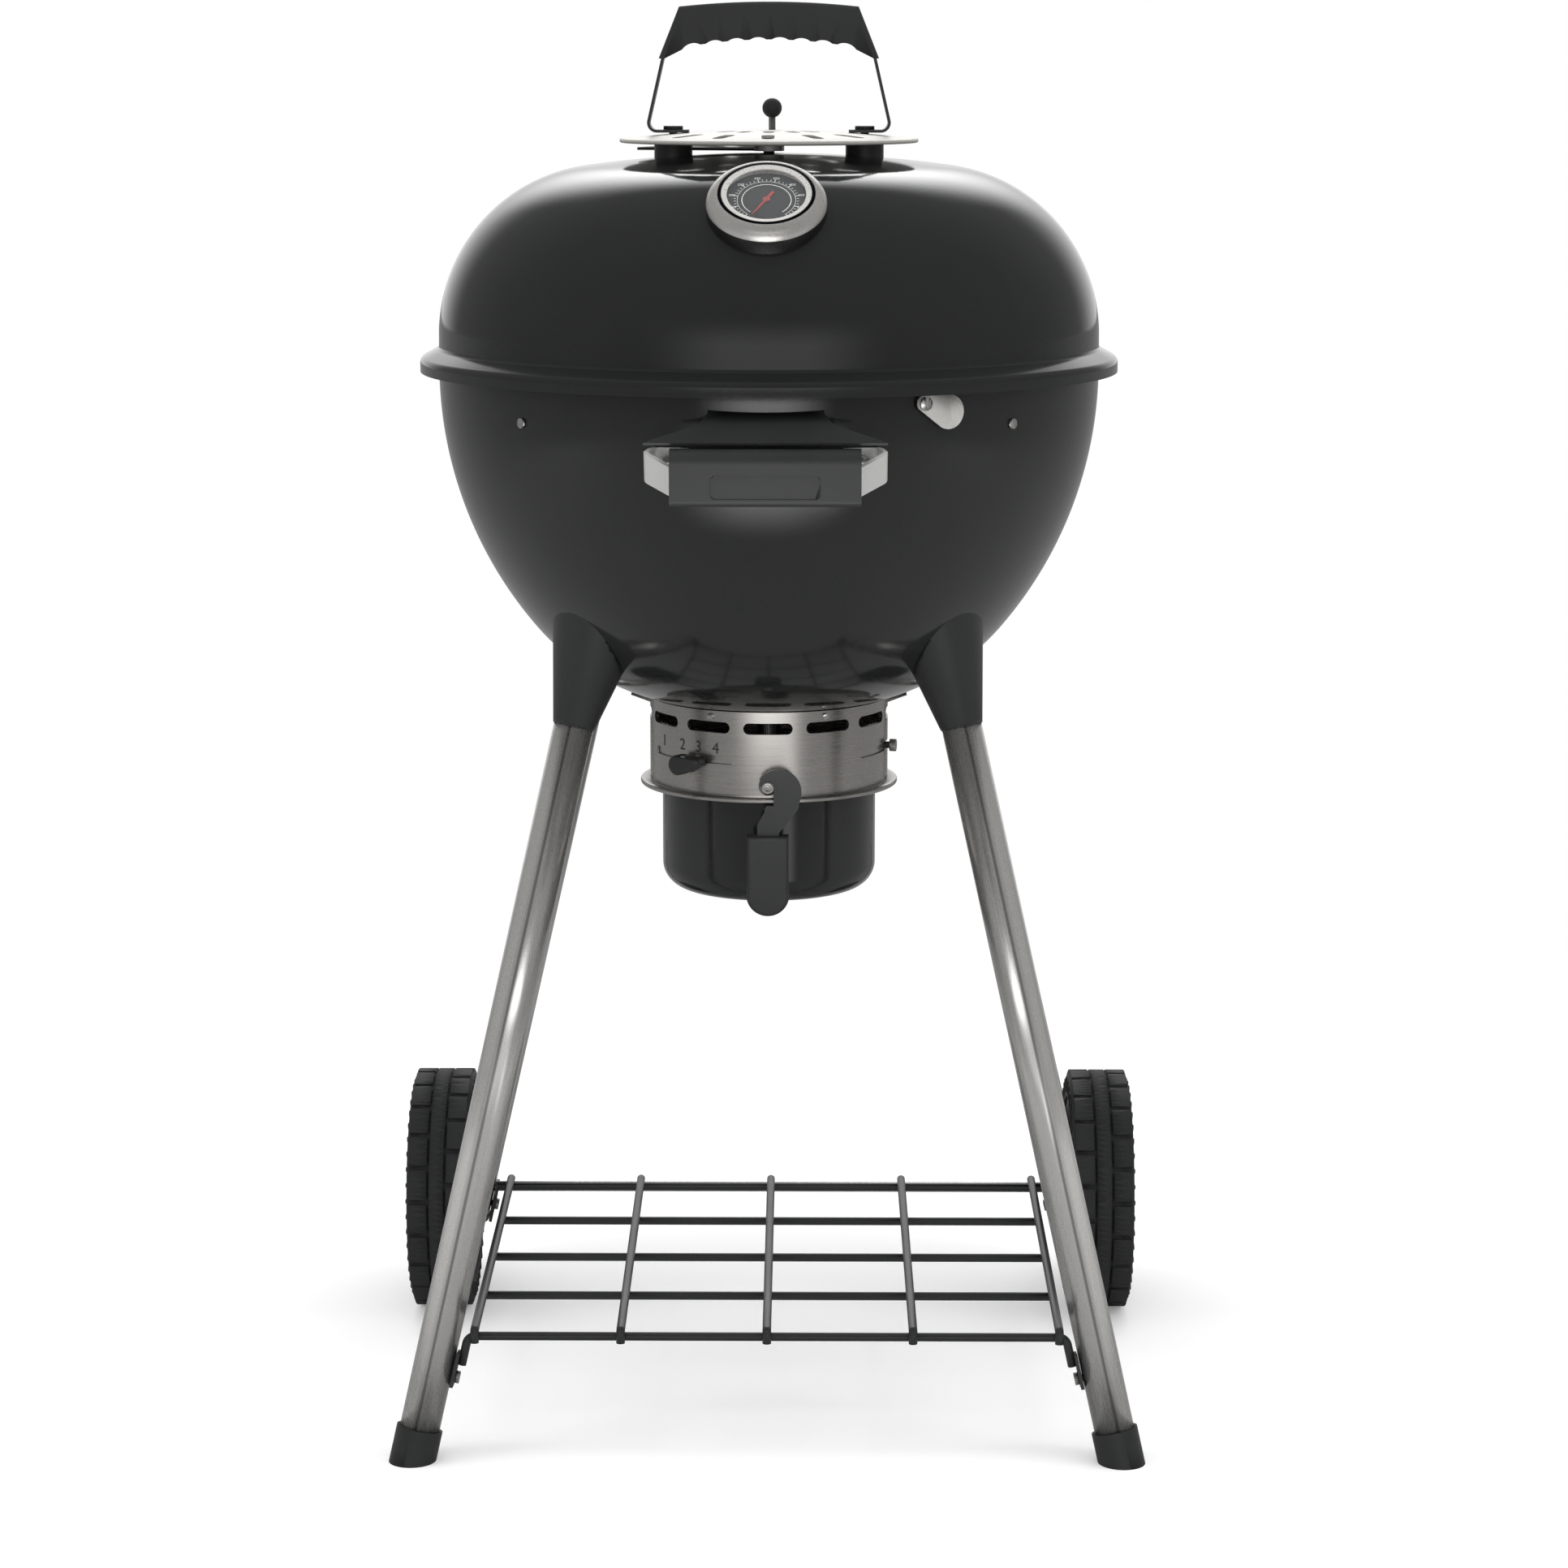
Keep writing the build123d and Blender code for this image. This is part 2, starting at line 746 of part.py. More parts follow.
with BuildPart() as collar_rivets:
    for azimuth in rivet_azimuths:
        rod(point_at(collar_in - neck_wall, azimuth, rivet_z), point_at(collar_r, azimuth, rivet_z), rivet_d)
        rod(
            point_at(collar_r, azimuth, rivet_z),
            point_at(collar_r + rivet_head_h, azimuth, rivet_z),
            rivet_head_d,
        )
save(collar_rivets, "collar_rivets")

# Sweeper: sleeve, shaft with blades, and the pins that pass through the collar
sleeve_r = collar_in - sleeve_gap
with BuildPart() as air_sleeve:
    with BuildSketch(Plane.XY.offset(sleeve_low)):
        Circle(sleeve_r)
        Circle(sleeve_r - sleeve_wall, mode=Mode.SUBTRACT)
    extrude(amount=sleeve_high - sleeve_low)
    with BuildSketch(Plane.XY.offset(spoke_z)):
        with PolarLocations(0, blade_count, start_angle=-FRONT):
            Rectangle(sleeve_r - sleeve_wall / 2, spoke_width, align=(Align.MIN, Align.CENTER))
        Circle(hub_d / 2)
        Circle(shaft_d / 2, mode=Mode.SUBTRACT)
    extrude(amount=spoke_h)
    for step in range(air_slot_count):
        with BuildSketch(wall_plane(sleeve_r, FRONT + step * 360 / air_slot_count, air_slot_z)):
            SlotOverall(*air_slot)
        extrude(amount=3 * sleeve_wall, both=True, mode=Mode.SUBTRACT)
    for azimuth in pin_azimuths.values():
        with Locations(wall_plane(sleeve_r, azimuth, lever_z)):
            Cylinder(lever_pin_d / 2, 4 * sleeve_wall, mode=Mode.SUBTRACT)
save(air_sleeve, "air_sleeve")

with BuildPart() as sweeper_blades:
    with BuildSketch(Plane.XZ):
        bowl_outline(bowl_wall + blade_gap, bead_z)
    revolve(axis=Axis.Z)
    with BuildSketch(Plane.XZ):
        bowl_outline(bowl_wall + blade_gap + blade_h, bead_z + blade_h)
    revolve(axis=Axis.Z, mode=Mode.SUBTRACT)
    with BuildSketch(Plane.XY.offset(sleeve_low)):
        with PolarLocations(0, blade_count, start_angle=-FRONT):
            Rectangle(bowl_r, blade_thick, align=(Align.MIN, Align.CENTER))
    extrude(amount=blade_top - sleeve_low, mode=Mode.INTERSECT)
    with BuildSketch(Plane.XY.offset(spoke_z)):
        Circle(shaft_d / 2)
    extrude(amount=shaft_top - spoke_z)
save(sweeper_blades, "sweeper_blades")

with BuildPart() as lever_pins:
    for name, reach in {"lever": lever_pin_reach, "guide": guide_reach}.items():
        rod(
            point_at(sleeve_r - sleeve_wall, pin_azimuths[name], lever_z),
            point_at(reach, pin_azimuths[name], lever_z),
            lever_pin_d,
        )
    rod(
        point_at(guide_reach - guide_head_h / 2, pin_azimuths["guide"], lever_z),
        point_at(guide_reach + guide_head_h / 2, pin_azimuths["guide"], lever_z),
        guide_head_d,
    )
save(lever_pins, "lever_pins")

with BuildPart() as lever_knob:
    with BuildSketch(wall_plane(lever_pin_reach - lever_knob_thick, pin_azimuths["lever"], lever_z)):
        with Locations((lever_knob_big_r - lever_knob_length / 2, -lever_knob_drop)):
            Circle(lever_knob_big_r)
        with Locations((lever_knob_length / 2 - lever_knob_tip_r, -lever_knob_tip_r / 2)):
            Circle(lever_knob_tip_r)
        make_hull()
    extrude(amount=lever_knob_thick + lever_pin_gap)
    knob_axis = Axis((0, 0, 0), tuple(point_at(1, pin_azimuths["lever"], 0)))
    fillet(lever_knob.faces().sort_by(knob_axis)[-1].edges(), lever_knob_edge)
    add(lever_pins.part, mode=Mode.SUBTRACT)
save(lever_knob, "lever_knob")


def pot_outline(inset, top):
    """Closed half section of the ash pot, drawn inset from its outer face."""
    with BuildLine() as outline:
        FilletPolyline(
            (0, pot_low + inset),
            (pot_r - inset, pot_low + inset),
            (pot_r - inset, top),
            radius=pot_round - inset,
        )
        Line((pot_r - inset, top), (0, top))
        Line((0, top), (0, pot_low + inset))
    make_face(outline.edges())


# Ash pot, guided by its lip inside the collar
with BuildPart() as ash_pot:
    with BuildSketch(Plane.XZ):
        pot_outline(0, pot_top)
    revolve(axis=Axis.Z)
    with BuildSketch(Plane.XY.offset(pot_top - pot_lip_h)):
        Circle(collar_in - pot_lip_gap)
    extrude(amount=pot_lip_h)
    with BuildSketch(Plane.XZ):
        pot_outline(pot_wall, pot_top + pot_lip_h)
    revolve(axis=Axis.Z, mode=Mode.SUBTRACT)
save(ash_pot, "ash_pot")

# Latch that swings in front of the collar and holds the pot
latch_back = -(collar_flange_r + latch_flange_gap)
latch_front = latch_back - latch_plate
with BuildPart() as latch_bolt:
    bolt_end = latch_front - latch_bolt_proud
    rod((0, -collar_in, latch_z), (0, bolt_end, latch_z), latch_bolt_d - 2 * running_gap)
    rod((0, -collar_r, latch_z), (0, latch_back + bolt_gap, latch_z), latch_shoulder_d)
    with BuildSketch(Plane((0, bolt_end, latch_z), x_dir=(1, 0, 0), z_dir=(0, -1, 0))):
        Circle(latch_bolt_socket_d / 2)
    extrude(amount=-latch_bolt_socket_deep, mode=Mode.SUBTRACT)
save(latch_bolt, "latch_bolt")

latch_plane = Plane((0, latch_back, 0), x_dir=(1, 0, 0), z_dir=(0, -1, 0))
with BuildPart() as latch_plate_piece:
    with BuildSketch(latch_plane):
        with Locations((latch_arch_x, latch_z - latch_arch_x / 2)):
            Circle((latch_arch_out + latch_eye_r) / 2)
        with BuildLine():
            Polyline(*[(x, latch_z + z) for x, z in latch_mouth], close=True)
        make_face(mode=Mode.SUBTRACT)
        with Locations((0, latch_z)):
            Circle(latch_bolt_d / 2, mode=Mode.SUBTRACT)
        with BuildLine():
            Polyline(*[(x, latch_z + z) for x, z in latch_arm], close=True)
        make_face()
    extrude(amount=latch_plate)
save(latch_plate_piece, "latch_plate")

with BuildPart() as latch_grip:
    mid = latch_back - latch_plate / 2
    with BuildSketch(Plane((0, mid, 0), x_dir=(1, 0, 0), z_dir=(0, -1, 0))):
        with BuildLine():
            Polyline(
                (-latch_grip_half, latch_grip_low),
                (-latch_grip_half, latch_grip_high),
                (latch_grip_half, latch_grip_high),
                (latch_grip_half, latch_grip_low),
            )
            ThreePointArc(
                (latch_grip_half, latch_grip_low), (0, latch_tip_z), (-latch_grip_half, latch_grip_low)
            )
        make_face()
    extrude(amount=latch_grip_thick / 2, both=True)
    fillet(latch_grip.edges().filter_by(Plane.XZ), latch_grip_edge)
    add(latch_plate_piece.part, mode=Mode.SUBTRACT)
save(latch_grip, "latch_grip")

# Lid
gauge_out = Vector(0, -(gauge_r - shoulder_centre.X) / lid_shoulder_arc, 0)
gauge_out = gauge_out + Vector(0, 0, sqrt(1 - gauge_out.Y**2))
gauge_seat = Vector(0, -gauge_r, shoulder_centre.Y + lid_shoulder_arc * gauge_out.Z)
gauge_plane = Plane(gauge_seat, x_dir=(1, 0, 0), z_dir=gauge_out)
gauge_section = section_plane(gauge_seat, gauge_out)
gauge_axis = Axis(tuple(gauge_seat), tuple(gauge_out))
with BuildPart() as lid_shell:
    with BuildSketch(Plane.XZ):
        lid_outline(0, skirt_low_z)
    revolve(axis=Axis.Z)
    with BuildSketch(Plane.XZ):
        lid_outline(lid_wall, skirt_low_z - lid_wall)
    revolve(axis=Axis.Z, mode=Mode.SUBTRACT)
    for azimuth in vent_azimuths:
        with Locations(point_at(vent_ring, azimuth, lid_top_z)):
            Cylinder(vent_hole_d / 2, lid_shoulder_arc, mode=Mode.SUBTRACT)
    for sign in SIDES.values():
        with Locations((sign * spacer_x, 0, lid_top_z)):
            Cylinder(bolt_d / 2 + bolt_gap, lid_shoulder_arc, mode=Mode.SUBTRACT)
    with Locations((0, 0, lid_top_z)):
        Cylinder(vent_post_d / 2, lid_shoulder_arc, mode=Mode.SUBTRACT)
    with Locations(gauge_plane):
        Cylinder(stem_d / 2 + stem_hole_gap, 8 * lid_wall, mode=Mode.SUBTRACT)
save(lid_shell, "lid_shell")

# Heat shield, held off the lid on two spacers
shield_apex = lid_top_z + shield_lift


def shield_z(radius, drop=0.0):
    """Height of the heat shield's dome at a radius, below its top face by a drop."""
    return shield_apex - shield_dome_arc + sqrt((shield_dome_arc - drop) ** 2 - radius**2)


with BuildPart() as heat_shield:
    half_r = shield_r / 2
    with BuildSketch(Plane.XZ):
        with BuildLine():
            ThreePointArc((0, shield_apex), (half_r, shield_z(half_r)), (shield_r, shield_z(shield_r)))
            Line((shield_r, shield_z(shield_r)), (shield_r, shield_z(shield_r, shield_plate)))
            ThreePointArc(
                (shield_r, shield_z(shield_r, shield_plate)),
                (half_r, shield_z(half_r, shield_plate)),
                (0, shield_apex - shield_plate),
            )
            Line((0, shield_apex - shield_plate), (0, shield_apex))
        make_face()
        with Locations((shield_r, shield_z(shield_r, shield_plate / 2))):
            Circle(shield_edge_r)
    revolve(axis=Axis.Z)
    for slot, ring, azimuths in (
        (shield_slot, shield_slot_ring, shield_slot_azimuths),
        (shield_inner_slot, shield_inner_ring, shield_inner_azimuths),
    ):
        for azimuth in azimuths:
            with BuildSketch(Plane(point_at(ring, azimuth, shield_apex), x_dir=point_at(1, azimuth, 0))):
                SlotOverall(*slot)
            extrude(amount=shield_lift, both=True, mode=Mode.SUBTRACT)
    for sign in SIDES.values():
        with Locations((sign * spacer_x, 0, shield_apex)):
            Cylinder(bolt_d / 2 + bolt_gap, shield_lift, mode=Mode.SUBTRACT)
    slot_half = lever_rod_d / 2 + lever_slot_gap
    slot_margin = degrees(slot_half / lever_ring)
    cut_arc_slot(
        (lever_azimuth - damper_travel - slot_margin, lever_azimuth + slot_margin),
        (lever_ring - slot_half, lever_ring + slot_half),
        shield_apex,
        shield_lift,
    )
save(heat_shield, "heat_shield")

spacer_top = shield_z(spacer_x + spacer_d / 2, shield_plate) - spacer_seat_gap
with BuildPart() as shield_spacers:
    for sign in SIDES.values():
        rod((sign * spacer_x, 0, spacer_top - shield_lift), (sign * spacer_x, 0, spacer_top), spacer_d)
    add(lid_form.part, mode=Mode.SUBTRACT)
    for sign in SIDES.values():
        with Locations((sign * spacer_x, 0, lid_top_z)):
            Cylinder(bolt_d / 2 + bolt_gap, 2 * shield_lift, mode=Mode.SUBTRACT)
save(shield_spacers, "shield_spacers")

# Lid handle: a bent strap with a moulded grip over its top
strap_z = shield_z(strap_foot_in) + bolt_gap + strap_thick / 2
strap_turn = strap_foot_out - strap_thick / 2
with BuildPart() as handle_strap:
    bent_strip(
        Plane.XZ,
        (
            (-strap_foot_in, strap_z),
            (-strap_turn, strap_z),
            (-strap_knee_x, strap_knee_z),
            (-strap_top_x, strap_top_z),
            (strap_top_x, strap_top_z),
            (strap_knee_x, strap_knee_z),
            (strap_turn, strap_z),
            (strap_foot_in, strap_z),
        ),
        strap_bend,
        strap_thick,
        strap_width,
    )
    for sign in SIDES.values():
        with Locations((sign * spacer_x, 0, strap_z)):
            Cylinder(bolt_d / 2 + bolt_gap, 4 * strap_thick, mode=Mode.SUBTRACT)
save(handle_strap, "handle_strap")

with BuildPart() as handle_grip:
    corner_z = grip_top_z - grip_crown
    with BuildSketch(Plane.XZ):
        with BuildLine():
            ThreePointArc((-grip_top_half, corner_z), (0, grip_top_z), (grip_top_half, corner_z))
            for sign in SIDES.values():
                Polyline(
                    (sign * grip_top_half, corner_z),
                    (sign * grip_tip_half, grip_tip_z),
                    (sign * (grip_tip_half - grip_tip_width), grip_tip_z),
                    (sign * grip_end_half, grip_end_z),
                )
            ThreePointArc((-grip_end_half, grip_end_z), (0, grip_mid_z), (grip_end_half, grip_end_z))
        make_face()
    extrude(amount=grip_depth / 2, both=True)
    rims = handle_grip.edges().filter_by(Plane.XZ)
    fillet(rims.filter_by(lambda edge: edge.center().Z > grip_mid_z), grip_edge)
    with BuildSketch(Plane.XZ):
        for step in range(scallop_count):
            x = (step - (scallop_count - 1) / 2) * scallop_pitch
            arch_z = grip_mid_z - (grip_mid_z - grip_end_z) * (x / grip_end_half) ** 2
            with Locations((x, arch_z - scallop_r + scallop_cut)):
                Circle(scallop_r)
    extrude(amount=grip_depth, both=True, mode=Mode.SUBTRACT)
    add(handle_strap.part, mode=Mode.SUBTRACT)
save(handle_grip, "handle_grip")

with BuildPart() as handle_bolts:
    strap_top = strap_z + strap_thick / 2
    nut_top = lid_crown_z(spacer_x + nut_d / 2, lid_wall) - bolt_gap
    for sign in SIDES.values():
        x = sign * spacer_x
        rod((x, 0, nut_top - bolt_tail), (x, 0, strap_top), bolt_d)
        rod((x, 0, strap_top), (x, 0, strap_top + bolt_head_h), bolt_head_d)
        with BuildSketch(Plane((x, 0, nut_top - nut_h))):
            RegularPolygon(nut_d / 2, 6)
        extrude(amount=nut_h)
save(handle_bolts, "handle_bolts")

# Lid vent: a damper that turns on a post, worked by a knob above the shield
damper_low = lid_top_z + damper_lift
with BuildPart() as vent_post:
    post_top = damper_low + damper_hub_h + bolt_gap
    rod((0, 0, lid_top_z - bolt_tail), (0, 0, post_top), vent_post_d - 2 * running_gap)
    rod((0, 0, post_top), (0, 0, post_top + bolt_head_h), bolt_head_d)
    with BuildSketch(Plane((0, 0, lid_top_z - lid_wall - bolt_gap - nut_h))):
        RegularPolygon(bolt_head_d / 2, 6)
    extrude(amount=nut_h)
save(vent_post, "vent_post")

with BuildPart() as vent_damper:
    with BuildSketch(upright_plane(damper_from)):
        with Locations((damper_r / 2, damper_low + damper_plate / 2)):
            Rectangle(damper_r, damper_plate)
    revolve(axis=Axis.Z, revolution_arc=damper_to - damper_from)
    with BuildSketch(Plane.XY.offset(damper_low)):
        Circle(damper_hub_d / 2)
    extrude(amount=damper_hub_h - bolt_gap * 2)
    with Locations((0, 0, damper_low)):
        Cylinder(vent_post_d / 2, 4 * damper_hub_h, mode=Mode.SUBTRACT)
    with Locations(point_at(lever_ring, lever_azimuth, damper_low)):
        Cylinder(lever_rod_d / 2, 4 * damper_plate, mode=Mode.SUBTRACT)
save(vent_damper, "vent_damper")

with BuildPart() as vent_lever_rod:
    rod(
        point_at(lever_ring, lever_azimuth, damper_low),
        point_at(lever_ring, lever_azimuth, vent_knob_z),
        lever_rod_d,
    )
save(vent_lever_rod, "vent_lever_rod")

with BuildPart() as vent_knob:
    with Locations(point_at(lever_ring, lever_azimuth, vent_knob_z)):
        Sphere(vent_knob_d / 2)
    add(vent_lever_rod.part, mode=Mode.SUBTRACT)
save(vent_knob, "vent_knob")

# Thermometer, turned about its own axis square to the lid
case_in_r = gauge_case_r - gauge_case_wall
dial_low = gauge_case_base + gauge_floor
dial_top = dial_low + gauge_dial_t
needle_low = dial_top + needle_lift
lens_low = dial_top + gauge_lens_lift
lens_top = lens_low + gauge_lens_t
bezel_in_r = gauge_case_r + gauge_case_gap
with BuildPart() as thermometer_bezel:
    with BuildSketch(gauge_section):
        with BuildLine():
            Polyline(
                (gauge_bezel_top_r, gauge_bezel_h),
                (bezel_in_r + gauge_groove, gauge_bezel_h),
                (bezel_in_r + gauge_groove, gauge_bezel_h - gauge_groove_deep),
                (bezel_in_r, gauge_bezel_h - gauge_groove_deep),
                (bezel_in_r, -gauge_bezel_skirt),
                (gauge_bezel_r, -gauge_bezel_skirt),
                (gauge_bezel_r, gauge_bezel_foot),
            )
            ThreePointArc(
                (gauge_bezel_r, gauge_bezel_foot),
                (
                    (gauge_bezel_r + gauge_bezel_top_r) / 2 + gauge_bezel_bulge,
                    (gauge_bezel_foot + gauge_bezel_h) / 2 + gauge_bezel_bulge,
                ),
                (gauge_bezel_top_r, gauge_bezel_h),
            )
        make_face()
    revolve(axis=gauge_axis)
    add(lid_form.part, mode=Mode.SUBTRACT)
save(thermometer_bezel, "thermometer_bezel")

with BuildPart() as thermometer_case:
    with BuildSketch(gauge_section):
        with BuildLine():
            Polyline(
                (needle_pin_d / 2 + bolt_gap, gauge_case_base),
                (gauge_case_r, gauge_case_base),
                (gauge_case_r, lens_top + bolt_gap + gauge_ring_h),
                (gauge_ring_r, lens_top + bolt_gap + gauge_ring_h / 2),
                (gauge_ring_r, lens_top + bolt_gap),
                (case_in_r, lens_top + bolt_gap),
                (case_in_r, dial_low),
                (needle_pin_d / 2 + bolt_gap, dial_low),
                close=True,
            )
        make_face()
    revolve(axis=gauge_axis)
save(thermometer_case, "thermometer_case")

with BuildPart() as thermometer_dial:
    with BuildSketch(gauge_plane.offset(dial_low)):
        Circle(case_in_r - bolt_gap)
        Circle(needle_pin_d / 2 + bolt_gap, mode=Mode.SUBTRACT)
    extrude(amount=gauge_dial_t)
save(thermometer_dial, "thermometer_dial")

with BuildPart() as thermometer_lens:
    with BuildSketch(gauge_plane.offset(lens_low)):
        Circle(case_in_r - bolt_gap)
    extrude(amount=gauge_lens_t)
save(thermometer_lens, "thermometer_lens")

with BuildPart() as thermometer_stem:
    boss_low = bolt_gap
    nut_sink = lid_wall + (stem_nut_d / 2) ** 2 / (lid_shoulder_arc - lid_wall) + bolt_gap
    for start, end, diameter in (
        (-stem_length, gauge_case_base, stem_d),
        (boss_low, gauge_case_base, stem_nut_d),
        (gauge_case_base, needle_low + needle_t, needle_pin_d),
    ):
        rod(
            gauge_plane.from_local_coords(Vector(0, 0, start)),
            gauge_plane.from_local_coords(Vector(0, 0, end)),
            diameter,
        )
    with BuildSketch(gauge_plane.offset(-nut_sink - stem_nut_h)):
        RegularPolygon(stem_nut_d / 2, 6)
    extrude(amount=stem_nut_h)
save(thermometer_stem, "thermometer_stem")

with BuildPart() as thermometer_needle:
    needle_turn = radians(needle_rest)
    needle_along = gauge_plane.x_dir * cos(needle_turn) + gauge_plane.y_dir * sin(needle_turn)
    with BuildSketch(Plane(gauge_plane.offset(needle_low).origin, x_dir=needle_along, z_dir=gauge_plane.z_dir)):
        with BuildLine():
            Polyline(
                (-needle_short, needle_width / 2),
                (-needle_short, -needle_width / 2),
                (needle_long, -needle_width / 8),
                (needle_long, needle_width / 8),
                close=True,
            )
        make_face()
        Circle(needle_hub_d / 2)
        Circle(needle_pin_d / 2 + running_gap, mode=Mode.SUBTRACT)
    extrude(amount=needle_t)
save(thermometer_needle, "thermometer_needle")

# Front handle: grip, two straps to the bowl and a sloped hood over them
grip_back = handle_reach - handle_grip_depth
front_brackets = {}
tilt = radians(bracket_tilt)
bracket_plane = Plane((0, -bracket_shoulder, bracket_z), x_dir=(1, 0, 0), z_dir=(0, -sin(tilt), cos(tilt)))
foot_arc = bowl_radius(bracket_foot_high) + bracket_thick / 2
for side, sign in SIDES.items():
    foot_start_x = bracket_seat_half - bracket_foot
    strap_run = (
        (foot_start_x, -sqrt(foot_arc**2 - foot_start_x**2)),
        (bracket_seat_half, -sqrt(foot_arc**2 - bracket_seat_half**2)),
        (bracket_half - bracket_thick / 2, -bracket_shoulder),
        (bracket_entry_half, -(handle_reach + grip_back) / 2),
    )
    with BuildPart() as front_bracket:
        bent_strip(
            bracket_plane,
            [(sign * x, (y + bracket_shoulder) / cos(tilt)) for x, y in strap_run],
            bracket_bend,
            bracket_thick,
            bracket_height,
        )
        foot_ends = [Vector(sign * x, y) for x, y in strap_run[:2]]
        foot_out = Vector(foot_ends[1] - foot_ends[0]).cross(Vector(0, 0, -sign)).normalized()
        with BuildSketch(Plane.XY.offset(bracket_foot_low)):
            with BuildLine():
                Polyline(
                    *[end + foot_out * bracket_thick / 2 for end in foot_ends],
                    *[end - foot_out * bracket_thick / 2 for end in reversed(foot_ends)],
                    close=True,
                )
            make_face()
        extrude(amount=bracket_foot_high - bracket_foot_low)
        with Locations((0, -bowl_r, bracket_foot_high + bracket_height)):
            Box(4 * bracket_half, bracket_half, 2 * bracket_height, mode=Mode.SUBTRACT)
        add(bowl_form.part, mode=Mode.SUBTRACT)
        seat_azimuth = FRONT + sign * degrees(asin((bracket_seat_half - bracket_foot / 2) / bowl_r))
        with Locations(wall_plane(bowl_r, seat_azimuth, handle_screw_z)):
            Cylinder(handle_screw_d / 2, 8 * bracket_thick, mode=Mode.SUBTRACT)
        with BuildSketch(wall_plane(foot_arc + bracket_thick / 2, seat_azimuth, handle_screw_z)):
            Circle(handle_screw_head_d / 2 + bolt_gap)
        extrude(amount=2 * bracket_thick, mode=Mode.SUBTRACT)
    front_brackets[side] = front_bracket
    save(front_bracket, f"front_handle_bracket_{side}")

with BuildPart() as front_handle_grip:
    with BuildSketch(Plane.YZ):
        with Locations((-(handle_reach + grip_back) / 2, (handle_grip_low + handle_grip_high) / 2)):
            Rectangle(handle_grip_depth, handle_grip_high - handle_grip_low)
        grip_corners = vertices().sort_by(Axis.Y)
        fillet(grip_corners[:2] + grip_corners[2:].sort_by(Axis.X)[1:], handle_grip_edge)
        fillet(vertices().sort_by(Axis.Y)[-2:].sort_by(Axis.X)[:1], handle_grip_round)
    extrude(amount=handle_grip_half, both=True)
    with BuildSketch(Plane((0, -handle_reach, handle_panel_z), x_dir=(1, 0, 0), z_dir=(0, -1, 0))):
        RectangleRounded(*handle_panel, handle_panel[1] / 4)
    extrude(amount=-handle_panel_deep, mode=Mode.SUBTRACT)
    for front_bracket in front_brackets.values():
        add(front_bracket.part, mode=Mode.SUBTRACT)
save(front_handle_grip, "front_handle_grip")

with BuildPart() as front_handle_hood:
    hood_run = Vector(0, bowl_r - hood_reach, hood_low_z - hood_top_z)
    hood_side = Vector(1, 0, 0)
    hood_plane = Plane((0, -bowl_r, hood_top_z), x_dir=hood_side, z_dir=hood_side.cross(-hood_run))
    with BuildSketch(hood_plane):
        with BuildLine():
            hood_edge = (
                [(hood_top_half, bead_r * 2), (hood_top_half, 0)]
                + [(half, -share * hood_run.length) for half, share in hood_flare]
                + [(hood_low_half, -hood_run.length)]
            )
            Polyline(*hood_edge, *[(-x, y) for x, y in reversed(hood_edge)], close=True)
        make_face()
    extrude(amount=hood_plate)
    add(bowl_form.part, mode=Mode.SUBTRACT)
save(front_handle_hood, "front_handle_hood")

with BuildPart() as front_handle_screws:
    inner_r = bowl_radius(handle_screw_z - handle_screw_head_d / 2, bowl_wall)
    outer_r = foot_arc + bracket_thick / 2 + bolt_gap
    for sign in SIDES.values():
        azimuth = FRONT + sign * degrees(asin((bracket_seat_half - bracket_foot / 2) / bowl_r))
        for start, end, diameter in (
            (inner_r, outer_r, handle_screw_d - 2 * bolt_gap),
            (inner_r - handle_screw_head_h, inner_r, handle_screw_head_d),
            (outer_r, outer_r + handle_screw_head_h, handle_screw_head_d),
        ):
            rod(point_at(start, azimuth, handle_screw_z), point_at(end, azimuth, handle_screw_z), diameter)
save(front_handle_screws, "front_handle_screws")

# Probe port: a grommet in the bowl's wall and a cover that swings off it
cover_low = bolt_gap + grommet_lip + cover_gap
with BuildPart() as probe_grommet:
    with BuildSketch(port_plane.offset(-2 * bowl_wall)):
        Circle(port_d / 2 - bolt_gap)
    extrude(amount=2 * bowl_wall + bolt_gap)
    with BuildSketch(port_plane.offset(bolt_gap)):
        Circle(port_d / 2 + grommet_flange)
    extrude(amount=grommet_lip)
    with Locations(port_plane):
        Cylinder(port_bore_d / 2, 8 * bowl_wall, mode=Mode.SUBTRACT)
save(probe_grommet, "probe_grommet")

with BuildPart() as probe_cover:
    with BuildSketch(port_plane.offset(cover_low)):
        Circle(cover_big_r)
        with Locations(cover_arm):
            Circle(cover_small_r)
        make_hull()
        with Locations(cover_arm):
            Circle(pivot_d / 2, mode=Mode.SUBTRACT)
    extrude(amount=cover_plate)
save(probe_cover, "probe_cover")

with BuildPart() as probe_screw:
    head_low = cover_low + cover_plate + cover_gap
    for start, end, diameter in (
        (-4 * bowl_wall, head_low, pivot_d - 2 * running_gap),
        (bolt_gap, cover_low - cover_gap, 2 * cover_small_r - pivot_d),
        (head_low, head_low + pivot_head_h, pivot_head_d),
    ):
        rod(
            pivot_plane.from_local_coords(Vector(0, 0, start)),
            pivot_plane.from_local_coords(Vector(0, 0, end)),
            diameter,
        )
save(probe_screw, "probe_screw")

